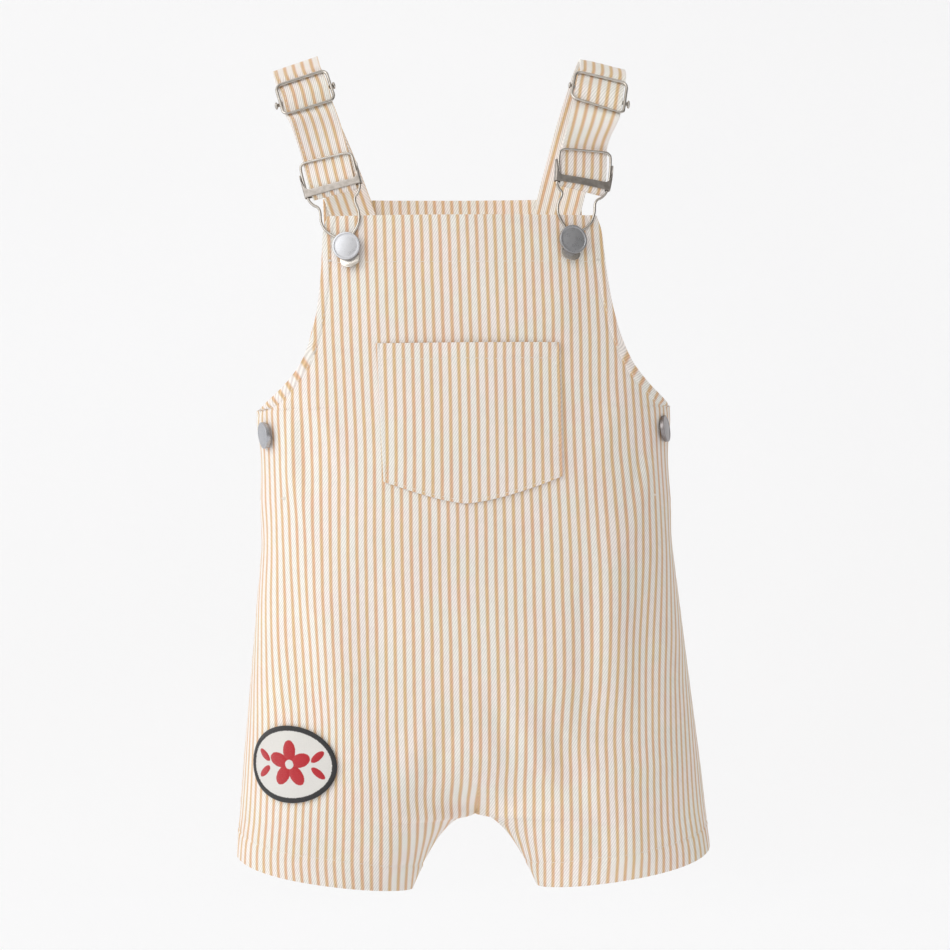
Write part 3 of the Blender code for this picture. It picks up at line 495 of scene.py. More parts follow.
def makePanel(panel):
    grid, top = panelGrid, topOf[panel]
    share, tiny = grid["edgeShare"], 1e-6
    wide = np.linspace(0, 1 - share, grid["middleColumns"] + 1)
    parts = np.concatenate([wide, np.linspace(1 - share, 1, grid["edgeColumns"] + 1)[1:]])
    heights, crotchRow = rowHeights(panel, parts)
    middle = heights[:, 0]
    underLap, underArm = (middle <= garment[level] + tiny for level in ("lapBottom", "underarm"))
    inLap = (middle >= garment["lapBottom"] - tiny) & underArm
    closed = underArm if panel == "back" else underLap
    plain = panelPoints(panel, parts[None, :], heights)
    fromSide = smoothStep((1 - parts[None, :]) / foldFade["fromSide"])
    aboveArm = smoothStep((middle - garment["underarm"]) / foldFade["aboveArm"])[:, None]
    fromInseam = smoothStep(parts[None, :] / foldFade["fromInseam"])
    aboveCrotch = (middle > garment["crotch"] + foldFade["aboveCrotch"])[:, None]
    fade = np.clip(fromSide + aboveArm, 0, 1) * np.clip(fromInseam + aboveCrotch, 0, 1)
    turnOver = seams["bandTurnFrom"] - seams["bandTurnFull"]
    turned = smoothStep((seams["bandTurnFrom"] - middle) / turnOver)
    turned *= smoothStep(1 + (middle - garment["underarm"]) / seams["leanFades"])
    points, uvs, faces, shared = [], [], [], {}

    def addPoints(places, across, along):
        first = len(points)
        points.extend(places.reshape(-1, 3))
        uvs.extend(np.stack([across, along], -1).reshape(-1, 2))
        return first + np.arange(places.size // 3).reshape(places.shape[:-1])

    for side in (1, -1):
        backwards = (side == 1) != (panel == "front")
        base = plain * (side, 1, 1)
        normals = gridNormals(base, -side * facing[panel])
        normals[: crotchRow + 1, 0, 1] = 0
        normals[closed, -1, 1] = 0
        normals[crotchRow, 0] = (0, 0, -1)
        normals[crotchRow + 1 :, 0, 0] = 0
        normals /= np.linalg.norm(normals, axis=2)[..., None]
        relief = foldRelief(panel, base[..., 0], base[..., 2]) * fade
        arc = stripeArc(base + normals * relief[..., None], heights, parts)
        relief = relief + edgeRelief(panel, side, arc, heights, parts) + lapRelief(panel, parts, heights)
        outer = base + normals * relief[..., None]
        inBand = np.clip(seams["bandWidth"] - distanceToArmhole(arc, middle), 0, seams["bandWidth"])
        drawn = stripeRepeat * driftAt(panel, base[..., 0], base[..., 2])
        stripes = side * (arc - seams["bandLean"] * turned[:, None] * inBand) - drawn
        down = base[..., 2] - top
        index = addPoints(outer, stripes, down)
        if side == -1:
            index[crotchRow:, 0] = shared["middle"]
        shared["middle"] = index[crotchRow:, 0].copy()

        def addWing(rows, column):
            # more columns beyond an edge, which turn in as a seam allowance
            block = [index[rows, column]]
            for offset in seams["turnIn"]:
                beyond = stripes[rows, column] + side * (offset if column else -offset)
                block.append(addPoints((outer - normals * offset)[rows, column], beyond, down[rows, column]))
            return np.array(block).T

        faces += quads(index, backwards)
        faces += quads(addWing(closed, -1), backwards)
        block = addWing(np.arange(crotchRow + 1), 0)
        if side == -1:
            block[-1, 1:] = shared["apex"]
        shared["apex"] = block[-1, 1:].copy()
        faces += quads(block[:, ::-1], backwards)
        if panel == "front":
            # the side opening's lap, which goes on round over the back
            block = [index[inLap, -1]]
            for column in range(1, grid["lapColumns"] + 1):
                angle = quarter - column / grid["lapColumns"] * garment["lapAngle"]
                extra, ahead = (
                    trunkPoints("back", at, middle[inLap]) * (side, 1, 1) for at in (angle, angle - 0.02)
                )
                out = np.cross(ahead - extra, (0, 0, 1)) * side
                out /= np.linalg.norm(out, axis=1)[:, None]
                beyond = stripes[inLap, -1] + side * np.linalg.norm(extra - base[inLap, -1], axis=1)
                block.append(addPoints(extra + out * relief[inLap, -1][:, None], beyond, down[inLap, -1]))
            block = np.array(block).T
            faces += quads(block, backwards)
            surfaces["lap", side] = leanOver(np.array(points)[block[:, -2]])
        surfaces[panel, side] = dict(
            parts=parts, heights=heights, arc=arc, stripes=stripes, outer=leanOver(outer)
        )
    used, faces = np.unique(faces, return_inverse=True)
    faces = faces.reshape(-1, 4).tolist()
    points = leanOver(np.array(points)[used])
    piece = newMesh(panel + "Panel", points, faces, np.array(uvs)[used])
    surfaces[panel] = BVHTree.FromPolygons(points.tolist(), faces)
    roundOff(piece, 0.0003, 2, 55, garment["thickness"], -1)
    return piece


frontPanel = makePanel("front")
backPanel = makePanel("back")
print("panels made", len(frontPanel.data.polygons), len(backPanel.data.polygons))


# Camera, light and floor. The camera stands a little to the viewer's left of the middle.
studio = dict(
    turn=math.radians(-4.4), roll=math.radians(0.62), distance=1.455, height=-0.223, aside=0.0096,
    lens=102.0, floor=-0.62, wallDistance=1.6, bend=0.5, width=4.0, paper=0.55, paperGlow=0.425,
    glowColour=(0.985, 1.0, 1.035, 1.0), worldLight=1.135, roomFrom=0.16, roomTo=0.95,
    bright=(-0.88, -0.10, 0.35), room=(1.0, 0.972, 0.93, 1.0),
)

# place, target, size, power, colour
lights = {
    "keyLight": ((-1.5, -1.2, 0.75), (0, 0, -0.22), (1.6, 1.6), 13.0, (0.99, 1.0, 1.0)),
    "sideLight": ((1.5, 0.15, 0.0), (0, 0, -0.25), (0.8, 1.4), 2.1, (1.0, 0.97, 0.93)),
    "insideLight": ((-0.012, -0.024, -0.11), (-0.012, 0.05, -0.072), (0.14, 0.02), 0.019, (1.0, 0.98, 0.95)),
}


def addCamera():
    turn, roll = studio["turn"], studio["roll"]
    ahead = Vector((-math.sin(turn), math.cos(turn), 0))
    right = Vector((math.cos(turn), math.sin(turn), 0))
    up = Vector((0, 0, 1))
    place = -ahead * studio["distance"] + up * studio["height"] + right * studio["aside"]
    across = right * math.cos(roll) - up * math.sin(roll)
    upright = right * math.sin(roll) + up * math.cos(roll)
    lens = bpy.data.cameras.new("camera")
    lens.lens, lens.sensor_width = studio["lens"], 36
    camera = bpy.data.objects.new("camera", lens)
    camera.matrix_world = Matrix.Translation(place) @ Matrix((across, upright, -ahead)).transposed().to_4x4()
    bpy.context.scene.collection.objects.link(camera)
    bpy.context.scene.camera = camera


addCamera()
for name, (place, target, size, power, colour) in lights.items():
    lamp = bpy.data.lights.new(name, "AREA")
    lamp.shape = "RECTANGLE"
    lamp.size, lamp.size_y = size
    lamp.energy, lamp.color = power, colour
    light = bpy.data.objects.new(name, lamp)
    way = Vector(target) - Vector(place)
    light.matrix_world = Matrix.Translation(place) @ way.to_track_quat("-Z", "Y").to_matrix().to_4x4()
    light.visible_camera = False
    light.visible_glossy = name == "keyLight"
    bpy.context.scene.collection.objects.link(light)


# Materials are written as sums of shade values. The nodes go into the tree that is being painted.
paint = {"tree": None}


class shadeValue:
    def __init__(self, socket):
        self.socket = socket

    def __add__(self, other):
        return work("ADD", self, other)

    def __sub__(self, other):
        return work("SUBTRACT", self, other)

    def __mul__(self, other):
        return work("MULTIPLY", self, other)


def plug(node, inputs):
    for socket, value in inputs.items():
        if isinstance(value, shadeValue):
            paint["tree"].links.new(value.socket, node.inputs[socket])
        else:
            node.inputs[socket].default_value = value


def shade(kind, output, inputs=None, **settings):
    # adds a node, and gives the value that it puts out
    node = paint["tree"].nodes.new(kind)
    for setting, value in settings.items():
        setattr(node, setting, value)
    plug(node, inputs or {})
    return shadeValue(node.outputs[output])


def work(operation, *values):
    return shade("ShaderNodeMath", 0, dict(enumerate(values)), operation=operation)


def between(value, low, high, start=0.0, end=1.0, step="SMOOTHSTEP"):
    # a soft step from start to end while the value goes from low to high
    inputs = {"Value": value, "From Min": low, "From Max": high, "To Min": start, "To Max": end}
    return shade("ShaderNodeMapRange", "Result", inputs, interpolation_type=step)


def blend(share, first, second, way="MIX"):
    return shade("ShaderNodeMix", 2, {0: share, 6: first, 7: second}, data_type="RGBA", blend_type=way)


def noise(place, scale, detail=2.0):
    return shade("ShaderNodeTexNoise", "Fac", {"Vector": place, "Scale": scale, "Detail": detail})


def grey(value):
    return shade("ShaderNodeCombineColor", 0, {"Red": value, "Green": value, "Blue": value})


def clothPlace():
    cloth = {"Vector": shade("ShaderNodeUVMap", "UV", uv_map="cloth")}
    return shade("ShaderNodeSeparateXYZ", "X", cloth), shade("ShaderNodeSeparateXYZ", "Y", cloth)


def colourOf(*display):
    # display values up to 255, as a colour for a shader
    spread = [value / 255 for value in display]
    linear = [value / 12.92 if value < 0.04045 else ((value + 0.055) / 1.055) ** 2.4 for value in spread]
    return (*linear, 1.0)


def startMaterial(name, colour, roughness, metallic=0.0):
    made = bpy.data.materials.new(name)
    made.use_nodes = True
    paint["tree"] = made.node_tree
    shader = made.node_tree.nodes["Principled BSDF"]
    plug(shader, {"Base Color": colour, "Roughness": roughness, "Metallic": metallic})
    return made, shader, shade("ShaderNodeTexCoord", "Object")


def paintOn(shader, colour, height=None, distance=0.0, strength=1.0):
    plug(shader, {"Base Color": colour})
    if height:
        relief = {"Height": height, "Distance": distance, "Strength": strength}
        plug(shader, {"Normal": shade("ShaderNodeBump", "Normal", relief)})


# Twill: white with narrow tan stripes woven in, in metres across the cloth and along it
twill = dict(
    phase=200.37, stripeShare=0.375, softEdge=0.22, wobble=0.0003, linePitch=stripeRepeat / 3.5,
    lineSlope=-0.58, yarn=0.00045, bumpDepth=0.00012, bumpStrength=0.55,
    start=colourOf(240, 235, 230), whiteFrom=colourOf(243, 235, 231), whiteTo=colourOf(239, 237, 231),
    tanFrom=colourOf(223, 180, 151), tanTo=colourOf(220, 191, 145),
)


def makeTwill():
    made, shader, place = startMaterial("stripedTwill", twill["start"], 0.88)
    plug(shader, {"Specular IOR Level": 0.25, "Sheen Weight": 0.12, "Sheen Roughness": 0.5})
    across, along = clothPlace()
    wobble = noise(place, 60.0, 1.0) * twill["wobble"] - twill["wobble"] / 2
    steps = (across + wobble) * (1 / stripeRepeat) + twill["phase"]
    fromLeft = work("FRACT", steps) - 0.5
    half, soft = twill["stripeShare"] / 2, twill["softEdge"] / 2
    stripe = between(work("ABSOLUTE", fromLeft), half - soft, half + soft, 1.0, 0.0)
    # each stripe has its own tan, which also changes in patches and from its left to its right
    draw = shade("ShaderNodeTexWhiteNoise", "Value", {"W": work("FLOOR", steps)}, noise_dimensions="1D")
    hue = draw * 0.3 + (noise(place, 75.0, 1.0) * 1.6 - 0.45)
    tan = blend(fromLeft * -2.4 + hue, twill["tanFrom"], twill["tanTo"])
    tints = between(noise(place, 52.0, 1.0), 0.35, 0.65)
    colour = blend(stripe, blend(tints, twill["whiteFrom"], twill["whiteTo"]), tan)
    # the diagonal lines, the yarns across them, and a slight mottle
    grain = noise(place, 900.0, 3.0)
    slanted = (along * twill["lineSlope"] + across) * (2 * math.pi / twill["linePitch"]) + grain * 0.5
    ribs = work("SINE", slanted) * 0.5 + 0.5
    weave = work("SINE", along * (2 * math.pi / twill["yarn"])) * 0.18 + ribs
    mottle = between(noise(place, 260.0, 4.0), 0.25, 0.75, 0.975, 1.02)
    washed = between(noise(place, 14.0, 2.0), 0.3, 0.7, 0.985, 1.01)
    tint = grey(between(ribs, 0.0, 1.0, 0.83, 1.08) * mottle * washed)
    shaded = blend(1.0, colour, tint, "MULTIPLY")
    paintOn(shader, shaded, grain * 0.6 + weave, twill["bumpDepth"], twill["bumpStrength"])
    return made


stripedTwill = makeTwill()
for piece in (frontPanel, backPanel):
    piece.data.materials.append(stripedTwill)


def addFloor():
    # pale paper that runs over the floor and up behind
    low, far, bend, paper = (studio[name] for name in ("floor", "wallDistance", "bend", "paper"))
    turns = np.linspace(0, 1.57, 14)[1:]
    profile = [(-studio["width"], low), (far - bend, low)]
    profile += [(far - bend + bend * math.sin(turn), low + bend - bend * math.cos(turn)) for turn in turns]
    profile.append((far, 3.0))
    points = [(across, along, up) for along, up in profile for across in (-studio["width"], studio["width"])]
    floor = newMesh("paperFloor", points, quads(np.arange(len(points)).reshape(-1, 2)))
    made, shader, place = startMaterial("palePaper", (paper, paper, paper, 1.0), 0.95)
    paintOn(shader, grey(between(noise(place, 3.0), 0.0, 1.0, paper - 0.01, paper + 0.01)))
    plug(shader, {"Emission Color": studio["glowColour"], "Emission Strength": studio["paperGlow"]})
    floor.data.materials.append(made)


addFloor()
world = bpy.data.worlds.new("softRoom")
bpy.context.scene.world = world
world.use_nodes = True
paint["tree"] = world.node_tree
toSide = {0: shade("ShaderNodeTexCoord", "Generated"), 1: studio["bright"]}
facingLight = shade("ShaderNodeVectorMath", "Value", toSide, operation="DOT_PRODUCT")
roomShade = between(facingLight, -0.8, 0.8, studio["roomFrom"], studio["roomTo"])
roomLight = {"Color": studio["room"], "Strength": roomShade * studio["worldLight"]}
plug(world.node_tree.nodes["Background"], roomLight)
bpy.context.scene.view_settings.view_transform = "Standard"
print("camera, light and floor set")


def onFront(across, height):
    # a place on the front as it hangs, and the way out of the cloth there
    place, out, _, _ = surfaces["front"].ray_cast(Vector((across, -0.3, height)), Vector((0, 1, 0)))
    return np.array(place), np.array(out)


def rowsAround(grid, height):
    # the two rows of a panel's grid around a height, each with its share
    levels = grid["heights"][:, 0]
    row = int(np.clip(np.searchsorted(levels, height), 1, len(levels) - 1))
    share = (height - levels[row - 1]) / (levels[row] - levels[row - 1])
    return (row - 1, 1 - share), (row, share)


def stripeAt(across, height):
    # the front's own stripe coordinate at a place of the trunk
    fromLean = across - leanAt(height)
    grid = surfaces["front", 1 if fromLean > 0 else -1]
    found = 0
    for row, share in rowsAround(grid, height):
        aside = np.abs(grid["outer"][row][:, 0] - leanAt(height))
        found += share * np.interp(abs(fromLean), aside, grid["stripes"][row])
    return found


# Chest pocket
pocketCloth = dict(
    middle=-0.0004, halfWidth=0.048, top=-0.1537, sideBottom=-0.224, middleBottom=-0.2378,
    bottomCurve=1.5, tip=-0.09, leftLower=0.002, narrowing=0.015, shear=0.001,
    lift=0.0004, hem=0.008, edgeRow=0.0016, thickness=0.0009,
    puff=0.0008, puffOver=0.02, puffFast=0.006, gape=0.0007, gapeOver=0.014, gapeUneven=0.25,
    edgeRaise=0.00022, edgeGroove=0.00022, hemRaise=0.00028,
    wrinkle=0.00012, wrinklePitch=0.0011, wrinkleOver=0.004,
    columns=110, rows=96, stripeShift=0.0021, shiftAside=0.0004, shiftBelow=0.001, pitch=0.0026,
)


def pocketPlace(aside, rise):
    # aside from -1 to 1, rise from the bottom edge (0) to the top (1)
    cut = pocketCloth
    fromTip = abs(aside - cut["tip"]) / (1 - cut["tip"] * (1 if aside > cut["tip"] else -1))
    sideRise = cut["sideBottom"] - cut["middleBottom"] + (cut["leftLower"] * aside if aside < 0 else 0)
    bottom = cut["middleBottom"] + sideRise * fromTip ** cut["bottomCurve"]
    height = bottom + (cut["top"] - bottom) * rise
    width = cut["halfWidth"] + cut["narrowing"] * (height - cut["top"])
    return cut["middle"] + aside * width + cut["shear"] * (1 - rise) + leanAt(height), height


def pocketLift(aside, rise, height):
    # how far the pocket stands off the front: puffed, with a turned edge, a hem and a gaping top
    cut = pocketCloth
    fromSide = (1 - abs(aside)) * cut["halfWidth"]
    inside = min(fromSide, rise * (cut["top"] - cut["middleBottom"]))
    fromTop = cut["top"] - height
    puffed = (1 - math.exp(-inside / cut["puffFast"])) * (1 - math.exp(-inside / cut["puffOver"]))
    lift = cut["lift"] + cut["puff"] * puffed
    lift += cut["edgeRaise"] * smoothStep((cut["edgeRow"] - inside) / 0.001 + 0.5)
    lift -= cut["edgeGroove"] * hill(inside - cut["edgeRow"], 0.0007)
    lift += cut["hemRaise"] * smoothStep((cut["hem"] - fromTop) / 0.0012 + 0.5)
    lift -= cut["edgeGroove"] * hill(fromTop - cut["hem"], 0.0008)
    uneven = 1 + cut["gapeUneven"] * math.sin(5 * aside + 0.6)
    lift += cut["gape"] * (1 - aside**2) * math.exp(-fromTop / cut["gapeOver"]) * uneven
    wrinkle = math.sin(height / cut["wrinklePitch"]) * math.exp(-fromSide / cut["wrinkleOver"])
    return lift + cut["wrinkle"] * wrinkle


def makePocket():
    cut = pocketCloth
    points, uv = [], []
    for rise in np.linspace(0, 1, cut["rows"]):
        for aside in np.linspace(-1, 1, cut["columns"]):
            across, height = pocketPlace(aside, rise)
            place, out = onFront(across, height)
            points.append(place + out * (pocketLift(aside, rise, height) + cut["thickness"]))
            shift = cut["stripeShift"] + cut["shiftAside"] * aside + cut["shiftBelow"] * (1 - rise)
            uv.append((stripeAt(across, height) + shift, height))
    faces = quads(np.arange(len(points)).reshape(cut["rows"], -1))
    piece = newMesh("chestPocket", points, faces, uv, stripedTwill)
    surfaces["pocket"] = BVHTree.FromPolygons(np.array(points).tolist(), faces)
    roundOff(piece, 0.00028, 2, 55, cut["thickness"], -1)
    return piece


chestPocket = makePocket()
print("pocket made", len(chestPocket.data.polygons))


# Places of the hooks and sliders, as the solids have them: origin, then across, up and out
def unit(vector):
    return np.asarray(vector, float) / np.linalg.norm(vector)


def placeOn(panel, across, height, lift):
    parts = np.linspace(0, 1, 721)
    curve = panelPoints(panel, parts, height)
    part = np.interp(abs(across), curve[:, 0], parts)
    beside = panelPoints(panel, part + 0.001, height) - panelPoints(panel, part - 0.001, height)
    below = panelPoints(panel, part, height - 0.0005) - panelPoints(panel, part, height + 0.0005)
    out = unit(np.cross(below, beside)) * -facing[panel]
    return panelPoints(panel, part, height) + out * lift, out


def put(place, across, up, out):
    origin, acrossWay, upWay, outWay = place
    return origin + across * acrossWay + up * upWay + out * outWay


def tilted(tilt, origin, across, up, out):
    leaning = math.cos(tilt) * across - math.sin(tilt) * up
    return origin, leaning, math.sin(tilt) * across + math.cos(tilt) * up, out


def smoothRoute(points, steps):
    given = np.asarray(points, float)
    ends = [2 * given[0] - given[1], *given, 2 * given[-1] - given[-2]]
    route = []
    for before, start, end, after in zip(ends, ends[1:], ends[2:], ends[3:]):
        for step in range(steps):
            part = step / steps
            square = (2 * before - 5 * start + 4 * end - after) * part**2
            cube = (3 * start - before - 3 * end + after) * part**3
            route.append(0.5 * (2 * start + (end - before) * part + square + cube))
    return np.array([*route, given[-1]])


def reachAlong(line):
    return np.concatenate([[0], np.cumsum(np.linalg.norm(np.diff(line, axis=0), axis=1))])


hook = dict(
    across=0.0596, height=-0.1007, tilt=math.radians(13),
    wire=0.0007, wireLow=0.001, wireHigh=0.0018, bend=0.02, top=0.047,
    # half of the wire: across, up from the button
    outline=(
        (0, 0.047), (0.01, 0.047), (0.0132, 0.0461), (0.0143, 0.0432), (0.0143, 0.031), (0.0141, 0.0278),
        (0.0124, 0.0252), (0.0104, 0.0236), (0.0097, 0.0212), (0.0104, 0.0168), (0.0096, 0.0124),
        (0.0073, 0.009), (0.0046, 0.0063), (0.0033, 0.003), (0.0032, 0), (0.0023, -0.0024), (0, -0.0034),
    ),
    guardUp=0.0309, guardHalfHeight=0.0017, guardHalfWidth=0.0156, guardFront=0.00265, guardRear=-0.0005,
    guardCorner=0.0006, sheet=0.0006, cheekTop=0.041, cheekWidth=0.0042, cheekCurve=2.6,
    lipUp=-0.007, lipHalfHeight=0.0043, lipHalfWidth=0.0054, lipOut=0.0023, lipRise=0.0014, lipDome=0.0003,
    # the two hooks hang a little differently: how far each button sits aside and up, over which heights
    askew={-1: (-0.0013, -0.0021), 1: (-0.002, 0.002)}, askewFrom=-0.068, askewTo=-0.09,
)

slider = dict(
    place=(0.0787, -0.024, -0.0175), lean=math.radians(33), tilt=math.radians(15),
    halfWidth=0.0139, halfHeight=0.0087, corner=0.003, wire=0.0008, barOut=-0.0019,
    knobRadius=0.0016, knobStart=0.015, knobEnd=0.0166, knobStep=0.0004, knobTaper=1.3,
)

strap = dict(
    onBack=((0.0553, -0.085), (0.0597, -0.0705), (0.0668, -0.049)), backTilt=math.radians(18),
    backBow=0.0006, bowedStops=4, bowAtRow=0.85,
    overShoulder=((0.0745, 0.0302, -0.026), (0.0805, 0.018, -0.0085), (0.083, 0, -0.0016)),
    width=0.025, solidThickness=0.0016, thickness=0.00145, gap=0.0003, steps=7, columns=24,
    edgeRow=0.0018, pressDepth=0.000072, pressWidth=0.0006, wave=0.00008, waveLength=0.004,
    stripeShift={-1: 0.01145, 1: 0.0105}, stitchPitch=0.0028,
)


def hookPlace():
    base, out = placeOn("front", hook["across"], hook["height"], 0)
    across = unit(np.cross(out, (0, 0, 1)))
    return tilted(hook["tilt"], base, -across, np.cross(across, out), out)


def sliderPlace():
    low, high = math.sin(slider["lean"]), math.cos(slider["lean"])
    axes = np.array([(1, 0, 0), (0, low, high), (0, -high, low)], float)
    return tilted(slider["tilt"], np.array(slider["place"]), *axes)


atHook, atSlider = hookPlace(), sliderPlace()


def strapRoute():
    # from the back over the shoulder to the slider, round the guard's rear strip and up to the bar
    thick, gap, tilt = strap["solidThickness"], strap["gap"], strap["backTilt"]
    stops = []
    for across, height in strap["onBack"]:
        spot, out = placeOn("back", across, height, -(garment["wall"] + gap + thick / 2))
        level = -unit(np.cross((0, 0, 1), out))
        stops.append((spot, math.cos(tilt) * level - math.sin(tilt) * np.cross(level, out)))
    top = np.array([math.cos(slider["tilt"]), 0, -math.sin(slider["tilt"])])
    stops += [(np.array(spot), top) for spot in strap["overShoulder"]]
    half, bar = slider["halfHeight"], slider["barOut"]
    fromWire = slider["wire"] + gap + thick / 2
    guard, rear = hook["guardUp"], hook["guardRear"]
    foot = guard - hook["guardHalfHeight"]
    fromRear = thick / 2 + gap + hook["sheet"] / 2
    run = [
        # down the front: over the slider's bar and round the guard
        (atSlider, half + 0.006, -0.003),
        (atSlider, half, -fromWire),
        (atSlider, 0, bar + fromWire),
        (atSlider, -half, -fromWire),
        (atSlider, -half - 0.008, -0.0016),
        (atHook, hook["top"] + 0.004, 0),
        (atHook, hook["top"], 0),
        (atHook, guard + 0.006, rear + fromRear),
        (atHook, guard, rear + fromRear),
        (atHook, foot, rear + fromRear),
        (atHook, foot - fromRear, rear),
        # and back up behind it to the bar
        (atHook, foot, rear - fromRear),
        (atHook, guard, rear - fromRear),
        (atHook, hook["top"], -0.0026),
        (atSlider, -half - 0.008, -0.0042),
        (atSlider, -half, -fromWire - thick - gap),
        (atSlider, 0, bar - fromWire),
        (atSlider, 0.003, bar - fromWire),
    ]
    stops += [(put(place, 0, up, out), place[1]) for place, up, out in run]
    return [smoothRoute(column, strap["steps"]) for column in zip(*stops)]


def makeStrap(name, side):
    line, across = strapRoute()
    down = reachAlong(line)
    width = strap["width"]
    asides = np.linspace(-0.5, 0.5, strap["columns"] + 1)
    fromRow = (0.5 - np.abs(asides)) * width - strap["edgeRow"]
    pressed = strap["pressDepth"] * hill(fromRow, strap["pressWidth"])
    points, uv, edges = [], [], {-1: [], 1: []}
    for number, (place, direction, sense) in enumerate(zip(line, across, np.gradient(line, axis=0))):
        direction = unit(direction - unit(sense) * (direction @ unit(sense)))
        out = unit(np.cross(sense, direction))
        bow = strap["backBow"] * smoothStep(2 - 2 * number / (strap["bowedStops"] * strap["steps"]))
        wave = strap["wave"] * np.sin(down[number] / strap["waveLength"] + 5 * asides + side)
        lift = wave - pressed - 2 * bow * np.abs(asides)
        points += list(place + np.outer(asides * width, direction) + np.outer(lift, out))
        uv += [(side * aside * width + strap["stripeShift"][side], -down[number]) for aside in asides]
        for way in (-1, 1):
            beside = direction * way * (width / 2 - strap["edgeRow"])
            edges[way].append((place + beside - out * bow * strap["bowAtRow"], out))
    index = np.arange(len(points)).reshape(len(line), -1)
    places = leanOver(np.array(points) * (side, 1, 1))
    piece = newMesh(name, places, quads(index.T, side == -1), uv, stripedTwill)
    roundOff(piece, 0.0005, 3, 55, strap["thickness"])
    surfaces[name] = edges
    return piece


strapRight = makeStrap("strapRight", 1)
strapLeft = makeStrap("strapLeft", -1)
print("straps made", len(strapLeft.data.polygons))


# Metal: roughness, depth of the scratches, plain colour, and the two shades that it goes between
metals = {
    "brightNickel": (0.2, 0.00002, (188, 183, 176), (182, 176, 169), (197, 192, 186)),
    "satinNickel": (0.3, 0.000012, (182, 184, 189), (180, 182, 187), (186, 187, 192)),
    # a darker copy of satin nickel, which is painted shade for the right side button on the side away from
    # the light
    "paintedShadeNickel": (0.32, 0.000012, (146, 141, 142), (142, 137, 138), (152, 147, 148)),
    "plateNickel": (0.36, 0.00003, (168, 162, 156), (156, 150, 144), (178, 172, 167)),
}


def makeMetal(name):
    roughness, scratches, *colours = metals[name]
    plain, darker, lighter = (colourOf(*colour) for colour in colours)
    made, shader, place = startMaterial(name, plain, roughness, 1.0)
    cloudy, fine = noise(place, 420.0, 3.0), noise(place, 2600.0, 4.0)
    paintOn(shader, blend(between(cloudy, 0.3, 0.7), darker, lighter), fine, scratches, 0.5)
    rough = between(fine * 0.5 + cloudy * 0.5, 0.3, 0.7)
    plug(shader, {"Roughness": rough * 0.12 + (roughness - 0.05)})
    return made


nickel = {name: makeMetal(name) for name in metals}


def editMesh(piece, picked="DESELECT", kind="FACE"):
    choose(piece)
    bpy.ops.object.mode_set(mode="EDIT")
    bpy.ops.mesh.select_mode(type=kind)
    bpy.ops.mesh.select_all(action=picked)


def pickFaces(piece, way):
    # in edit mode, the faces that look up (1) or down (-1)
    sheet = bmesh.from_edit_mesh(piece.data)
    for face in sheet.faces:
        face.select = face.normal.z * way > 0.9
    sheet.select_flush_mode()
    bmesh.update_edit_mesh(piece.data)


def leaveEdit(piece):
    bpy.ops.object.mode_set(mode="OBJECT")
    piece.select_set(False)


def evenNormals(piece):
    editMesh(piece, "SELECT")
    bpy.ops.mesh.normals_make_consistent(inside=False)
    leaveEdit(piece)


def settle(piece, place, side, material, angle):
    # moves the finished mesh to its place on the right half, or mirrors it to the left
    origin, *axes = place
    axes = Matrix(axes).transposed().to_4x4()
    mirror = Matrix.Diagonal((side, 1, 1, 1))
    piece.data.transform(mirror @ Matrix.Translation(origin) @ axes)
    if (mirror @ axes).determinant() < 0:
        piece.data.flip_normals()
    places = leanOver(readPlaces(piece))
    if place is atHook:
        share = smoothStep((hook["askewFrom"] - places[:, 2]) / (hook["askewFrom"] - hook["askewTo"]))
        places[:, [0, 2]] += share[:, None] * hook["askew"][side]
    writePlaces(piece, places)
    if place is atSideButton:
        centre = leanOver(origin * (side, 1, 1))
        twist, *move = buttonShape["sideAskew"][side]
        turned = Matrix.Rotation(math.radians(twist), 4, "Z")
        turned @= Matrix.Rotation(math.radians(buttonShape["sideTilt"]), 4, "Y")
        piece.data.transform(Matrix.Translation(centre + move) @ turned @ Matrix.Translation(-centre))
    choose(piece)
    bpy.ops.object.shade_smooth_by_angle(angle=math.radians(angle))
    piece.select_set(False)
    piece.data.materials.clear()
    piece.data.materials.append(material)
    return piece


buttonShape = dict(
    # radius, height of the cap's underside and face, and of the post's foot
    bib=(0.0074, 0.0029, 0.0049, 0.0003), side=(0.0071, 0.001, 0.0032, 0),
    segments=64, rim=0.0009, rimBevel=0.00035, dish=0.00018, dishWall=0.00012, dome=0.0003, domeRings=5,
    shankRadius=0.002, sideAngle=math.radians(73), sideHeight=-0.2005,
    # the side buttons' turn in degrees, then how far each sits off its place
    sideAskew={-1: (-8, 0.0002, 0, 0), 1: (5, -0.0014, 0, 0.0011)}, sideTilt=-7,
)


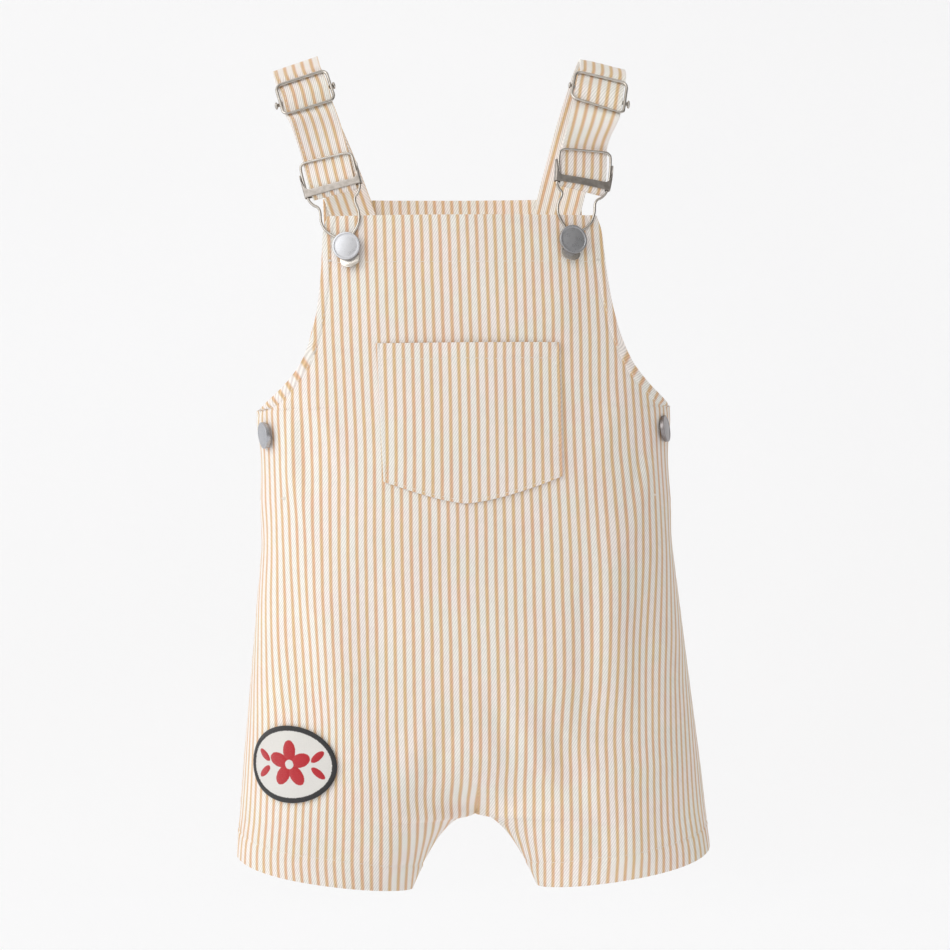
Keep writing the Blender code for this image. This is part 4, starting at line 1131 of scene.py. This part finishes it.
def makeButton(name, side):
    # a pressed metal cap with a rolled rim and a slightly domed face, on a short post
    shape, onBib = buttonShape, name.startswith("bib")
    radius, under, face, foot = shape["bib" if onBib else "side"]
    bpy.ops.mesh.primitive_cylinder_add(vertices=shape["segments"], radius=radius, depth=face - under)
    button = bpy.context.object
    button.name = name
    writePlaces(button, readPlaces(button) + (0, 0, (under + face) / 2))
    editMesh(button)
    pickFaces(button, 1)
    bpy.ops.mesh.inset(thickness=shape["rim"])
    bpy.ops.mesh.inset(thickness=shape["dishWall"])
    bpy.ops.transform.translate(value=(0, 0, -shape["dish"]))
    shares = np.linspace(1, 0, shape["domeRings"] + 2)[:-1]
    for outer, inner in zip(shares, shares[1:]):
        bpy.ops.mesh.inset(thickness=(radius - shape["rim"] - shape["dishWall"]) * (outer - inner))
        bpy.ops.transform.translate(value=(0, 0, shape["dome"] * (outer**2 - inner**2)))
    bpy.ops.mesh.select_all(action="DESELECT")
    pickFaces(button, -1)
    bpy.ops.mesh.inset(thickness=radius - shape["shankRadius"])
    bpy.ops.mesh.extrude_region_move(TRANSFORM_OT_translate={"value": (0, 0, foot - under)})
    leaveEdit(button)
    roundOff(button, shape["rimBevel"], 4, 60)
    # the right side button gets the darker copy of satin nickel: painted shade, not a different metal
    paintedShadeSide = side == 1 and not onBib
    material = nickel["paintedShadeNickel" if paintedShadeSide else "satinNickel"]
    return settle(button, atHook if onBib else atSideButton, side, material, 50)


def sideButtonPlace():
    angle, height = buttonShape["sideAngle"], buttonShape["sideHeight"]
    base = trunkPoints("front", angle, height)
    across = unit(trunkPoints("front", angle + 0.01, height) - base)
    out = unit(np.cross((0, 0, -1), across))
    lift = garment["lapLift"] * lapLiftAt(angle) + garment["seamGap"]
    return base + out * lift, across, np.cross(out, across), out


def makeRing(name, points):
    bpy.ops.mesh.primitive_circle_add(vertices=len(points), fill_type="NOTHING")
    ring = bpy.context.object
    ring.name = name
    writePlaces(ring, points)
    return ring


def makeWire(name, points, radius, place, side):
    # a ring of points becomes a closed round wire
    makeRing(name, points)
    bpy.ops.object.convert(target="CURVE")
    curve = bpy.context.object.data
    curve.bevel_depth, curve.bevel_resolution = radius, 5
    bpy.ops.object.convert(target="MESH")
    return settle(bpy.context.object, place, side, nickel["brightNickel"], 60)


def makeHookWire(name, side):
    half = smoothRoute(hook["outline"], 5)
    whole = np.concatenate([half, half[-2:0:-1] * (-1, 1)])
    rise = smoothStep((whole[:, 1] - hook["bend"]) / (hook["top"] - hook["bend"]))
    out = hook["wireLow"] + (hook["wireHigh"] - hook["wireLow"]) * rise
    return makeWire(name, np.column_stack([whole, out]), hook["wire"], atHook, side)


def roundedCorner(turn, halfWidth, halfHeight, corner, step):
    # the two signs of one corner of a rounded rectangle, and its points
    signs = np.array((1 if turn in (0, 270) else -1, 1 if turn in (0, 90) else -1))
    angles = np.radians(turn + np.arange(0, 91, step))
    arc = corner * np.column_stack([np.cos(angles), np.sin(angles)])
    return signs, arc + signs * (halfWidth - corner, halfHeight - corner)


def makeSliderFrame(name, side):
    size = [slider[measure] for measure in ("halfWidth", "halfHeight", "corner")]
    corners = np.concatenate([roundedCorner(turn, *size, 10)[1] for turn in (0, 90, 180, 270)])
    points = np.column_stack([corners, 0 * corners[:, 0]])
    return makeWire(name, points, slider["wire"], atSlider, side)


def makeSliderBar(name, side):
    # a round bar whose two ends are upset into small knobs
    wire, knob, start, step = (slider[size] for size in ("wire", "knobRadius", "knobStart", "knobStep"))
    bpy.ops.mesh.primitive_cylinder_add(vertices=20, radius=wire, depth=2 * start)
    bar = bpy.context.object
    bar.name = name
    tip = wire / slider["knobTaper"] / knob
    steps = ((knob / wire, step), (1, slider["knobEnd"] - start - 2 * step), (tip, step))
    editMesh(bar)
    for way in (1, -1):
        pickFaces(bar, way)
        for grow, move in steps:
            bpy.ops.mesh.extrude_region_move(TRANSFORM_OT_translate={"value": (0, 0, way * move)})
            bpy.ops.transform.resize(value=(grow, grow, 1))
        bpy.ops.mesh.select_all(action="DESELECT")
    leaveEdit(bar)
    roundOff(bar, 0.00022, 3, 25)
    _, across, up, out = atSlider
    place = (put(atSlider, 0, 0, slider["barOut"]), up, out, across)
    return settle(bar, place, side, nickel["brightNickel"], 50)


def makeGuard(name, side):
    # a strip bent round the strap: a ring raised into a wall, with its upper edge cut to the cheeks
    corner, half, cheek = hook["guardCorner"], hook["guardHalfWidth"], hook["cheekWidth"]
    middle = (hook["guardFront"] + hook["guardRear"]) / 2
    halfDepth = (hook["guardFront"] - hook["guardRear"]) / 2
    rounded = half - corner - cheek * (1 - np.cos(np.linspace(0, quarter, 9)[1:]))
    straight = np.concatenate([rounded, np.linspace(rounded[-1], 0, 7)[1:]])
    ring = []
    for turn in (0, 90, 180, 270):
        signs, arc = roundedCorner(turn, half, halfDepth, corner, 15)
        run = np.column_stack([straight, halfDepth + 0 * straight]) * signs
        ring += [*arc, *run] if turn in (0, 180) else [*run[-2::-1], *arc]
    low = hook["guardUp"] - hook["guardHalfHeight"]
    top = hook["guardUp"] + hook["guardHalfHeight"]
    guard = makeRing(name, [(across, low, middle + out) for across, out in ring])
    rises = (hook["guardHalfHeight"],) * 2 + (0.002,) * 4
    editMesh(guard, "SELECT", "EDGE")
    for rise in rises:
        bpy.ops.mesh.extrude_region_move(TRANSFORM_OT_translate={"value": (0, rise, 0)})
    leaveEdit(guard)
    places = readPlaces(guard)
    level = np.abs(places[:, 1:2] - low - np.cumsum((0, *rises))).argmin(axis=1) / len(rises)
    fromEdge = np.clip((half - np.abs(places[:, 0])) / cheek, 0, 1)
    cheekHeight = 1 - np.sqrt(np.maximum(1 - (1 - fromEdge) ** hook["cheekCurve"], 0))
    tall = np.where(places[:, 2] > middle, cheekHeight, fromEdge < 0.2)
    places[:, 1] = low + (top + (hook["cheekTop"] - top) * tall - low) * level
    writePlaces(guard, places)
    roundOff(guard, 0.00012, 2, 60, hook["sheet"])
    evenNormals(guard)
    return settle(guard, atHook, side, nickel["plateNickel"], 45)


def makeLip(name, side):
    # the hook's smooth tongue, which curls forward under the button
    bpy.ops.mesh.primitive_circle_add(vertices=40, radius=1, fill_type="NGON")
    lip = bpy.context.object
    lip.name = name
    editMesh(lip, "SELECT")
    for _ in range(6):
        bpy.ops.mesh.inset(thickness=0.14)
    leaveEdit(lip)
    aside, rise, _ = readPlaces(lip).T
    curl = hook["lipRise"] * np.minimum(rise, 0) ** 2 + hook["lipDome"] * (1 - aside**2 - rise**2)
    up = hook["lipUp"] + rise * hook["lipHalfHeight"]
    writePlaces(lip, np.column_stack([aside * hook["lipHalfWidth"], up, hook["lipOut"] + curl]))
    roundOff(lip, 0.00022, 3, 60, hook["sheet"])
    return settle(lip, atHook, side, nickel["brightNickel"], 50)


atSideButton = sideButtonPlace()
makers = {
    "bib_button": makeButton,
    "side_button": makeButton,
    "hook_wire": makeHookWire,
    "hook_guard": makeGuard,
    "hook_lip": makeLip,
    "slider_frame": makeSliderFrame,
    "slider_bar": makeSliderBar,
}
metalParts = {}
for word, side in (("Left", -1), ("Right", 1)):
    for kind, make in makers.items():
        first, second = kind.split("_")
        metalParts[f"{kind}_{word.lower()}"] = make(first + second.title() + word, side)
print("metal parts made", len(metalParts))


def placeAlong(wanted, reach, line):
    # the place on a line of points where its measure has the wanted value
    return np.array([np.interp(wanted, reach, line[:, axis]) for axis in range(3)])


def outOf(name, place):
    # the nearest place on a surface, and the way out
    found, out, _, _ = surfaces[name].find_nearest(Vector(place))
    return np.array(found), np.array(out)


# Badge on the viewer's left leg: black satin-stitched edge, white ground, a red flower
badgeShape = dict(
    across=-0.098, height=-0.373, halfWidth=0.026, halfHeight=0.02, thickness=0.0011, lift=0.0005,
    border=0.0027, borderRaise=0.00045, ridges=100, ridgeShare=0.12,
    petals=5, petalReach=0.0066, petalStretch=1.05, petalLong=0.0056, petalWide=0.0036,
    petalRaise=0.0004, heart=0.0024, heartRaise=0.00054,
    leafAside=0.0158, leafUp=0.0042, leafTilt=38, leafLong=0.0044, leafWide=0.0019,
    rings=36, rimRings=17, rimFrom=0.86, spokes=200,
    threadWidth=0.00045, slantWidth=0.00042, satinThreads=330,
)


def petalFrames():
    # middle, direction, half length and half width of every red shape
    shape = badgeShape
    frames = []
    for petal in range(shape["petals"]):
        turn = quarter + 2 * math.pi * petal / shape["petals"]
        middle = np.array((math.cos(turn), math.sin(turn) * shape["petalStretch"])) * shape["petalReach"]
        frames.append((middle, turn, shape["petalLong"], shape["petalWide"]))
    for side in (1, -1):
        for way in (1, -1):
            turn = math.radians(way * side * shape["leafTilt"])
            middle = (side * shape["leafAside"], way * shape["leafUp"])
            frames.append((middle, turn, shape["leafLong"], shape["leafWide"]))
    return frames


def squaredReach(aside, up, middle, way, long, wide):
    # the square of how far a place is from an oval's middle, where 1 is on the oval
    fromAside, fromUp = aside - float(middle[0]), up - float(middle[1])
    along = fromAside * (math.cos(way) / long) + fromUp * (math.sin(way) / long)
    over = fromUp * (math.cos(way) / wide) - fromAside * (math.sin(way) / wide)
    return along * along + over * over


def badgeRelief(spots):
    # how far the thread stands up: the border's ridges, the petals and leaves, and the flower's heart
    shape = badgeShape
    long, tall = (spots / (shape["halfWidth"], shape["halfHeight"])).T
    radius, size = np.hypot(long, tall), np.hypot(*spots.T)
    fromEdge = (1 - radius) * size / np.maximum(radius, 1e-6)
    fromEdge[0] = shape["halfHeight"]
    hump = np.clip(1 - (2 * fromEdge / shape["border"] - 1) ** 2, 0, 1) ** 0.5
    ridges = 1 + shape["ridgeShare"] * np.sin(shape["ridges"] * np.arctan2(tall, long))
    raised = shape["borderRaise"] * hump * ridges
    for frame in petalFrames():
        petal = smoothStep(1.6 * (1.15 - np.sqrt(squaredReach(*spots.T, *frame))))
        raised = np.maximum(raised, shape["petalRaise"] * petal)
    return np.maximum(raised, shape["heartRaise"] * smoothStep(1.5 * (1.2 - size / shape["heart"])))


def makeBadge():
    shape, grid = badgeShape, surfaces["front", -1]
    ground = np.linspace(0, shape["rimFrom"], shape["rings"])[1:]
    shares = [*ground, *np.linspace(shape["rimFrom"], 1, shape["rimRings"])[1:]]
    turns = 2 * math.pi * np.arange(shape["spokes"]) / shape["spokes"]
    oval = np.column_stack([shape["halfWidth"] * np.cos(turns), shape["halfHeight"] * np.sin(turns)])
    spots = np.concatenate([[(0, 0)], *(share * oval for share in shares)])
    places = []
    for (aside, up), raised in zip(spots, badgeRelief(spots)):
        height = shape["height"] + up
        (below, rest), (row, share) = rowsAround(grid, height)
        fromMiddle = leanAt(height) - grid["outer"][row][:, 0]
        wanted = np.interp(-shape["across"], fromMiddle, grid["arc"][row]) - aside
        place = share * placeAlong(wanted, grid["arc"][row], grid["outer"][row])
        place += rest * placeAlong(wanted, grid["arc"][below], grid["outer"][below])
        places.append(place + outOf("front", place)[1] * (shape["lift"] + shape["thickness"] + raised))
    block = 1 + np.arange(len(spots) - 1).reshape(-1, shape["spokes"])
    block = np.column_stack([block, block[:, 0]])
    faces = quads(block.T) + [(0, first, second) for first, second in zip(block[0], block[0][1:])]
    piece = newMesh("flowerBadge", places, faces, spots, makeBadgeThread())
    roundOff(piece, 0.0003, 2, 55, shape["thickness"], -1)
    return piece


def makeBadgeThread():
    made, shader, place = startMaterial("badgeThread", colourOf(235, 233, 230), 0.55)
    plug(shader, {"Sheen Weight": 0.2})
    shape = badgeShape
    long, tall, edge, heart = (shape[size] for size in ("halfWidth", "halfHeight", "border", "heart"))
    aside, up = clothPlace()
    ragged = noise(place, 1500.0, 1.0) * 0.1 - 0.05

    def inside(frame, low, high, start=1.0, rough=ragged):
        return between(work("SQRT", squaredReach(aside, up, *frame)) + rough, low, high, start, 1 - start)

    red = 0.0
    for frame in petalFrames():
        red = work("MAXIMUM", red, inside(frame, 0.96, 1.03))
    inHeart = inside(((0, 0), 0, heart, heart), 0.95, 1.05)
    inBorder = inside(((0, 0), 0, long - edge, tall - edge), 0.99, 1.01, 0.0, ragged * 0.35)
    # three ways of lying: level on the ground, slanted on the flower, and square to the edge on the border
    threads = work("SINE", aside * (2 * math.pi / shape["threadWidth"]))
    slanted = work("SINE", (up * 0.6 + aside) * (2 * math.pi / shape["slantWidth"]))
    satin = work("SINE", work("ARCTAN2", up * (1 / tall), aside * (1 / long)) * shape["satinThreads"])
    mottle = noise(place, 1200.0, 3.0)
    white = blend(between(threads + mottle, -0.4, 1.4), colourOf(222, 220, 216), colourOf(243, 241, 238))
    redThread = blend(between(slanted + mottle, -0.5, 1.6), colourOf(176, 20, 34), colourOf(214, 34, 48))
    black = blend(between(satin + mottle, -0.4, 1.6), colourOf(17, 17, 19), colourOf(50, 50, 54))
    flower = blend(inHeart, blend(red, white, redThread), white)
    relief = (slanted - threads) * red + threads
    relief = (satin - relief) * inBorder + relief
    paintOn(shader, blend(inBorder, flower, black), relief, 0.00012, 0.7)
    return made


flowerBadge = makeBadge()
print("badge made", len(flowerBadge.data.polygons))


# Stitches: one is made, and copied along every seam
stitch = dict(
    long=0.0022, pitch=0.0029, radius=0.00014, sink=0.000005, arch=0.35, uneven=0.05, look=0.0012,
    tackPitch=0.0004, tackLift=0.0001, levelEnds=0.0055, rowFromBand=0.0006, strapSink=0.00004,
)

# Bar tacks of the front: across, height, direction, length, width
tacks = (
    (0.0703, -0.1095, (1, 0, 0), 0.0036, 0.0013),
    (0.08, -0.157, (0.5, 0, -0.85), 0.0038, 0.0014),
    (0.107, -0.234, (1, 0, -0.15), 0.004, 0.0015),
)


def makeStitchShape():
    bpy.ops.mesh.primitive_uv_sphere_add(segments=6, ring_count=4, radius=1)
    shape = bpy.context.object
    editMesh(shape, "SELECT")
    bpy.ops.transform.rotate(value=quarter, orient_axis="Y", center_override=(0, 0, 0))
    leaveEdit(shape)
    corners = readPlaces(shape)
    faces = [list(face.vertices) for face in shape.data.polygons]
    bpy.data.objects.remove(shape)
    return corners, faces


stitchCorners, stitchFaces = makeStitchShape()


def makeThread():
    made, shader, place = startMaterial("whiteThread", colourOf(231, 224, 214), 0.75)
    strands = noise(place, 3500.0)
    paintOn(shader, blend(strands, colourOf(222, 216, 207), colourOf(246, 243, 238)), strands, 0.00008, 0.6)
    return made


whiteThread = makeThread()


def sewStitches(name, marks):
    # marks: middle, direction, way out and length of each stitch
    points, faces = [], []
    long, wide, tall = stitchCorners.T[..., None]
    rise = stitch["radius"] * (tall + stitch["arch"] * (1 - long**2)) - stitch["sink"]
    for middle, along, out, length in marks:
        along = unit(along)
        out = unit(out - along * (out @ along))
        beside = np.cross(out, along) * stitch["radius"]
        faces += [[len(points) + corner for corner in face] for face in stitchFaces]
        points += list(middle + along * long * (length / 2) + beside * wide + out * rise)
    piece = newMesh(name, points, faces, None, whiteThread)
    evenNormals(piece)
    return piece


def marksAlong(line, surface=None, outs=None, pitch=stitch["pitch"]):
    # a row of stitches along a line of points
    line = np.asarray(line, float)
    length = stitch["long"] * pitch / stitch["pitch"]
    reach = reachAlong(line)
    marks = []
    for middle in np.arange(pitch / 2, reach[-1] - pitch / 3, pitch):
        middle += random.uniform(-stitch["uneven"], stitch["uneven"]) * pitch
        looks = (0, stitch["look"], -stitch["look"])
        here, ahead, behind = (placeAlong(middle + look, reach, line) for look in looks)
        if surface:
            here, out = outOf(surface, here)
        else:
            out = placeAlong(middle, reach, outs)
        marks.append((here, ahead - behind, out, length))
    return marks


def rowInside(panel, side, distance, low, high):
    # a line at a distance from the armhole's edge
    grid = surfaces[panel, side]
    middle, edge = grid["heights"][:, 0], grid["arc"][:, -1]
    slope = np.gradient(edge, middle)
    wanted = edge - distance * np.sqrt(1 + np.minimum(slope**2, 4))
    rows = np.nonzero((middle >= low) & (middle <= high))[0]
    return [placeAlong(wanted[row], grid["arc"][row], grid["outer"][row]) for row in rows]


def legHemLine(panel, side):
    grid = surfaces[panel, side]
    levels = hemAt(grid["parts"]) + seams["legHemDepth"]
    columns = range(1, len(levels) - 1)
    return [placeAlong(levels[at], grid["heights"][:, at], grid["outer"][:, at]) for at in columns]


def levelLine(panel, height, inside):
    line = []
    for side in (-1, 1):
        grid = surfaces[panel, side]
        row = int(np.argmin(np.abs(grid["heights"][:, 0] - height)))
        run = grid["outer"][row][grid["arc"][row] < grid["arc"][row, -1] - inside]
        line += list(run[::-1] if side == -1 else run[1:])
    return line


def barTack(middle, along, out, length, width):
    # short stitches close together, across a bar
    along, out = unit(along), np.array(out)
    beside = unit(np.cross(out, along))
    count = int(length / stitch["tackPitch"])
    spots = [((number + 0.5) / count - 0.5) * length for number in range(count)]
    return [(middle + along * spot + out * stitch["tackLift"], beside, out, width) for spot in spots]


def panelMarks(panel):
    top = topOf[panel]
    marks = marksAlong(levelLine(panel, top - seams["facingDepth"], stitch["levelEnds"]), panel)
    for side in (1, -1):
        distance = seams["bandWidth"] - stitch["rowFromBand"]
        row = rowInside(panel, side, distance, garment["underarm"] + 0.001, top - 0.004)
        marks += marksAlong(row, panel)
        marks += marksAlong(legHemLine(panel, side), panel)
        if panel == "front":
            marks += marksAlong(surfaces["lap", side], "front")
            for across, height, along, length, width in tacks:
                place, out = outOf("front", (side * across + leanAt(height), -0.035, height))
                marks += barTack(place, np.array(along) * (side, 1, 1), out, length, width)
    return marks


def pocketMarks():
    cut = pocketCloth
    inset, pitch = cut["edgeRow"], cut["pitch"]
    sides = [(1, rise) for rise in np.linspace(0.02, 0.995, 50)]
    bottom = [(aside, 0) for aside in np.linspace(-1, 1, 90)]
    around = [(-1, rise) for _, rise in sides[::-1]] + bottom + sides
    line = []
    for aside, rise in around:
        across, height = pocketPlace(aside * (1 - inset / cut["halfWidth"]), rise)
        height += 0 if rise else 1.15 * inset
        line.append(outOf("pocket", onFront(across, height)[0])[0])
    marks = marksAlong(line, "pocket", pitch=pitch)
    hem = [pocketPlace(aside, 1) for aside in np.linspace(-0.96, 0.96, 60)]
    hemLine = [onFront(across, height - cut["hem"])[0] for across, height in hem]
    marks += marksAlong(hemLine, "pocket", pitch=pitch)
    for aside in (-0.965, 0.965):
        place, out = outOf("pocket", onFront(*pocketPlace(aside, 0.975))[0])
        marks += barTack(place, (0, 0, 1), out, 0.004, 0.0017)
    return marks


def strapMarks(name, side):
    marks = []
    for way in (-1, 1):
        spots, outs = (np.array(column) for column in zip(*surfaces[name][way]))
        for face in (1, -1):
            lift = strap["thickness"] / 2 - stitch["strapSink"]
            line = leanOver((spots + outs * face * lift) * (side, 1, 1))
            marks += marksAlong(line, outs=outs * face * (side, 1, 1), pitch=strap["stitchPitch"])
    return marks


stitching = {
    "front": sewStitches("frontStitches", panelMarks("front")),
    "back": sewStitches("backStitches", panelMarks("back")),
    "pocket": sewStitches("pocketStitches", pocketMarks()),
    "left": sewStitches("leftStrapStitches", strapMarks("strapLeft", -1)),
    "right": sewStitches("rightStrapStitches", strapMarks("strapRight", 1)),
}
print("stitches made", {name: len(piece.data.polygons) for name, piece in stitching.items()})


# The straps and their metal hang a little differently on each side, as the photo shows.
# At each height of the front run: how far aside, how far up, and how much steeper across.
strapHang = {
    "left": (
        (0.006, 0, 0, 0.12),
        (-0.008, 0, -0.0004, 0.08),
        (-0.016, -0.0002, -0.0018, 0.09),
        (-0.0235, -0.0006, -0.0036, 0.096),
        (-0.038, -0.0013, -0.0008, 0.03),
        (-0.052, -0.0015, 0, -0.016),
        (-0.069, -0.0018, 0, 0),
        (-0.078, -0.0012, 0, 0),
        (-0.088, -0.0005, 0, 0),
        (-0.12, -0.0003, 0, 0),
    ),
    "right": (
        (0.006, 0, 0, 0.086),
        (-0.008, -0.0009, 0, -0.016),
        (-0.016, -0.0009, -0.0008, -0.046),
        (-0.0235, -0.0009, -0.0027, -0.12),
        (-0.038, -0.0007, 0.0008, 0),
        (-0.052, -0.0016, 0.0036, 0.15),
        (-0.069, -0.0008, 0.0025, 0.1),
        (-0.078, -0.0009, 0.0012, 0.02),
        (-0.09, -0.0009, -0.0008, 0),
        (-0.12, -0.0009, -0.0008, 0),
    ),
}
# height and how far aside, behind the shoulder
backStrapAside = ((0.006, 0), (-0.03, 0.0003), (-0.07, 0.001), (-0.12, 0.001))
hangFrom = dict(front=0.012, back=0.004, over=0.02, backBelow=-0.06)


def depthOfBack(across, height):
    curve = trunkPoints("back", np.linspace(0, quarter, 91), height)
    return np.interp(abs(across - leanAt(height)), curve[:, 0], curve[:, 1])


def hangStrap(cloth, word):
    ends = [metalParts[f"{kind}_{word}"] for kind in ("slider_frame", "hook_guard")]
    upper, lower = (readPlaces(piece).mean(axis=0) for piece in ends)
    aside, up, steeper = (curveThrough(strapHang[word], column) for column in (1, 2, 3))
    nodes = [node for node in metalParts if node.endswith(word) and not node.startswith("side")]
    for piece in (cloth, stitching[word], *(metalParts[node] for node in nodes)):
        places = readPlaces(piece)
        x, y, z = places.T.copy()
        front = smoothStep((hangFrom["front"] - y) / hangFrom["over"])
        back = smoothStep((y - hangFrom["back"]) / hangFrom["over"])
        middle = upper[0] + (lower[0] - upper[0]) * (z - upper[2]) / (lower[2] - upper[2])
        places[:, 0] += front * aside(z) + back * curveThrough(backStrapAside)(z)
        places[:, 2] += front * (up(z) + (x - middle) * steeper(z))
        for number in np.nonzero((back > 0) & (z < hangFrom["backBelow"]))[0]:
            level = min(z[number], garment["backTop"] - 0.002)
            places[number, 1] += depthOfBack(places[number, 0], level) - depthOfBack(x[number], level)
        writePlaces(piece, places)


hangStrap(strapLeft, "left")
hangStrap(strapRight, "right")
print("straps hung askew")

rides = [
    (frontPanel, "twill", "front"),
    (backPanel, "twill", "back"),
    (chestPocket, "twill", "pocket"),
    (strapLeft, "twill", "strap_left"),
    (strapRight, "twill", "strap_right"),
    (flowerBadge, "embroidery", "badge"),
]
for node, part in metalParts.items():
    rides.append((part, "satin_steel" if "button" in node else "polished_steel", node))
rides += [(piece, "twill") for piece in stitching.values()]
for piece, material, *nodes in rides:
    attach(piece, "root")
    if nodes:
        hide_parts(*nodes)
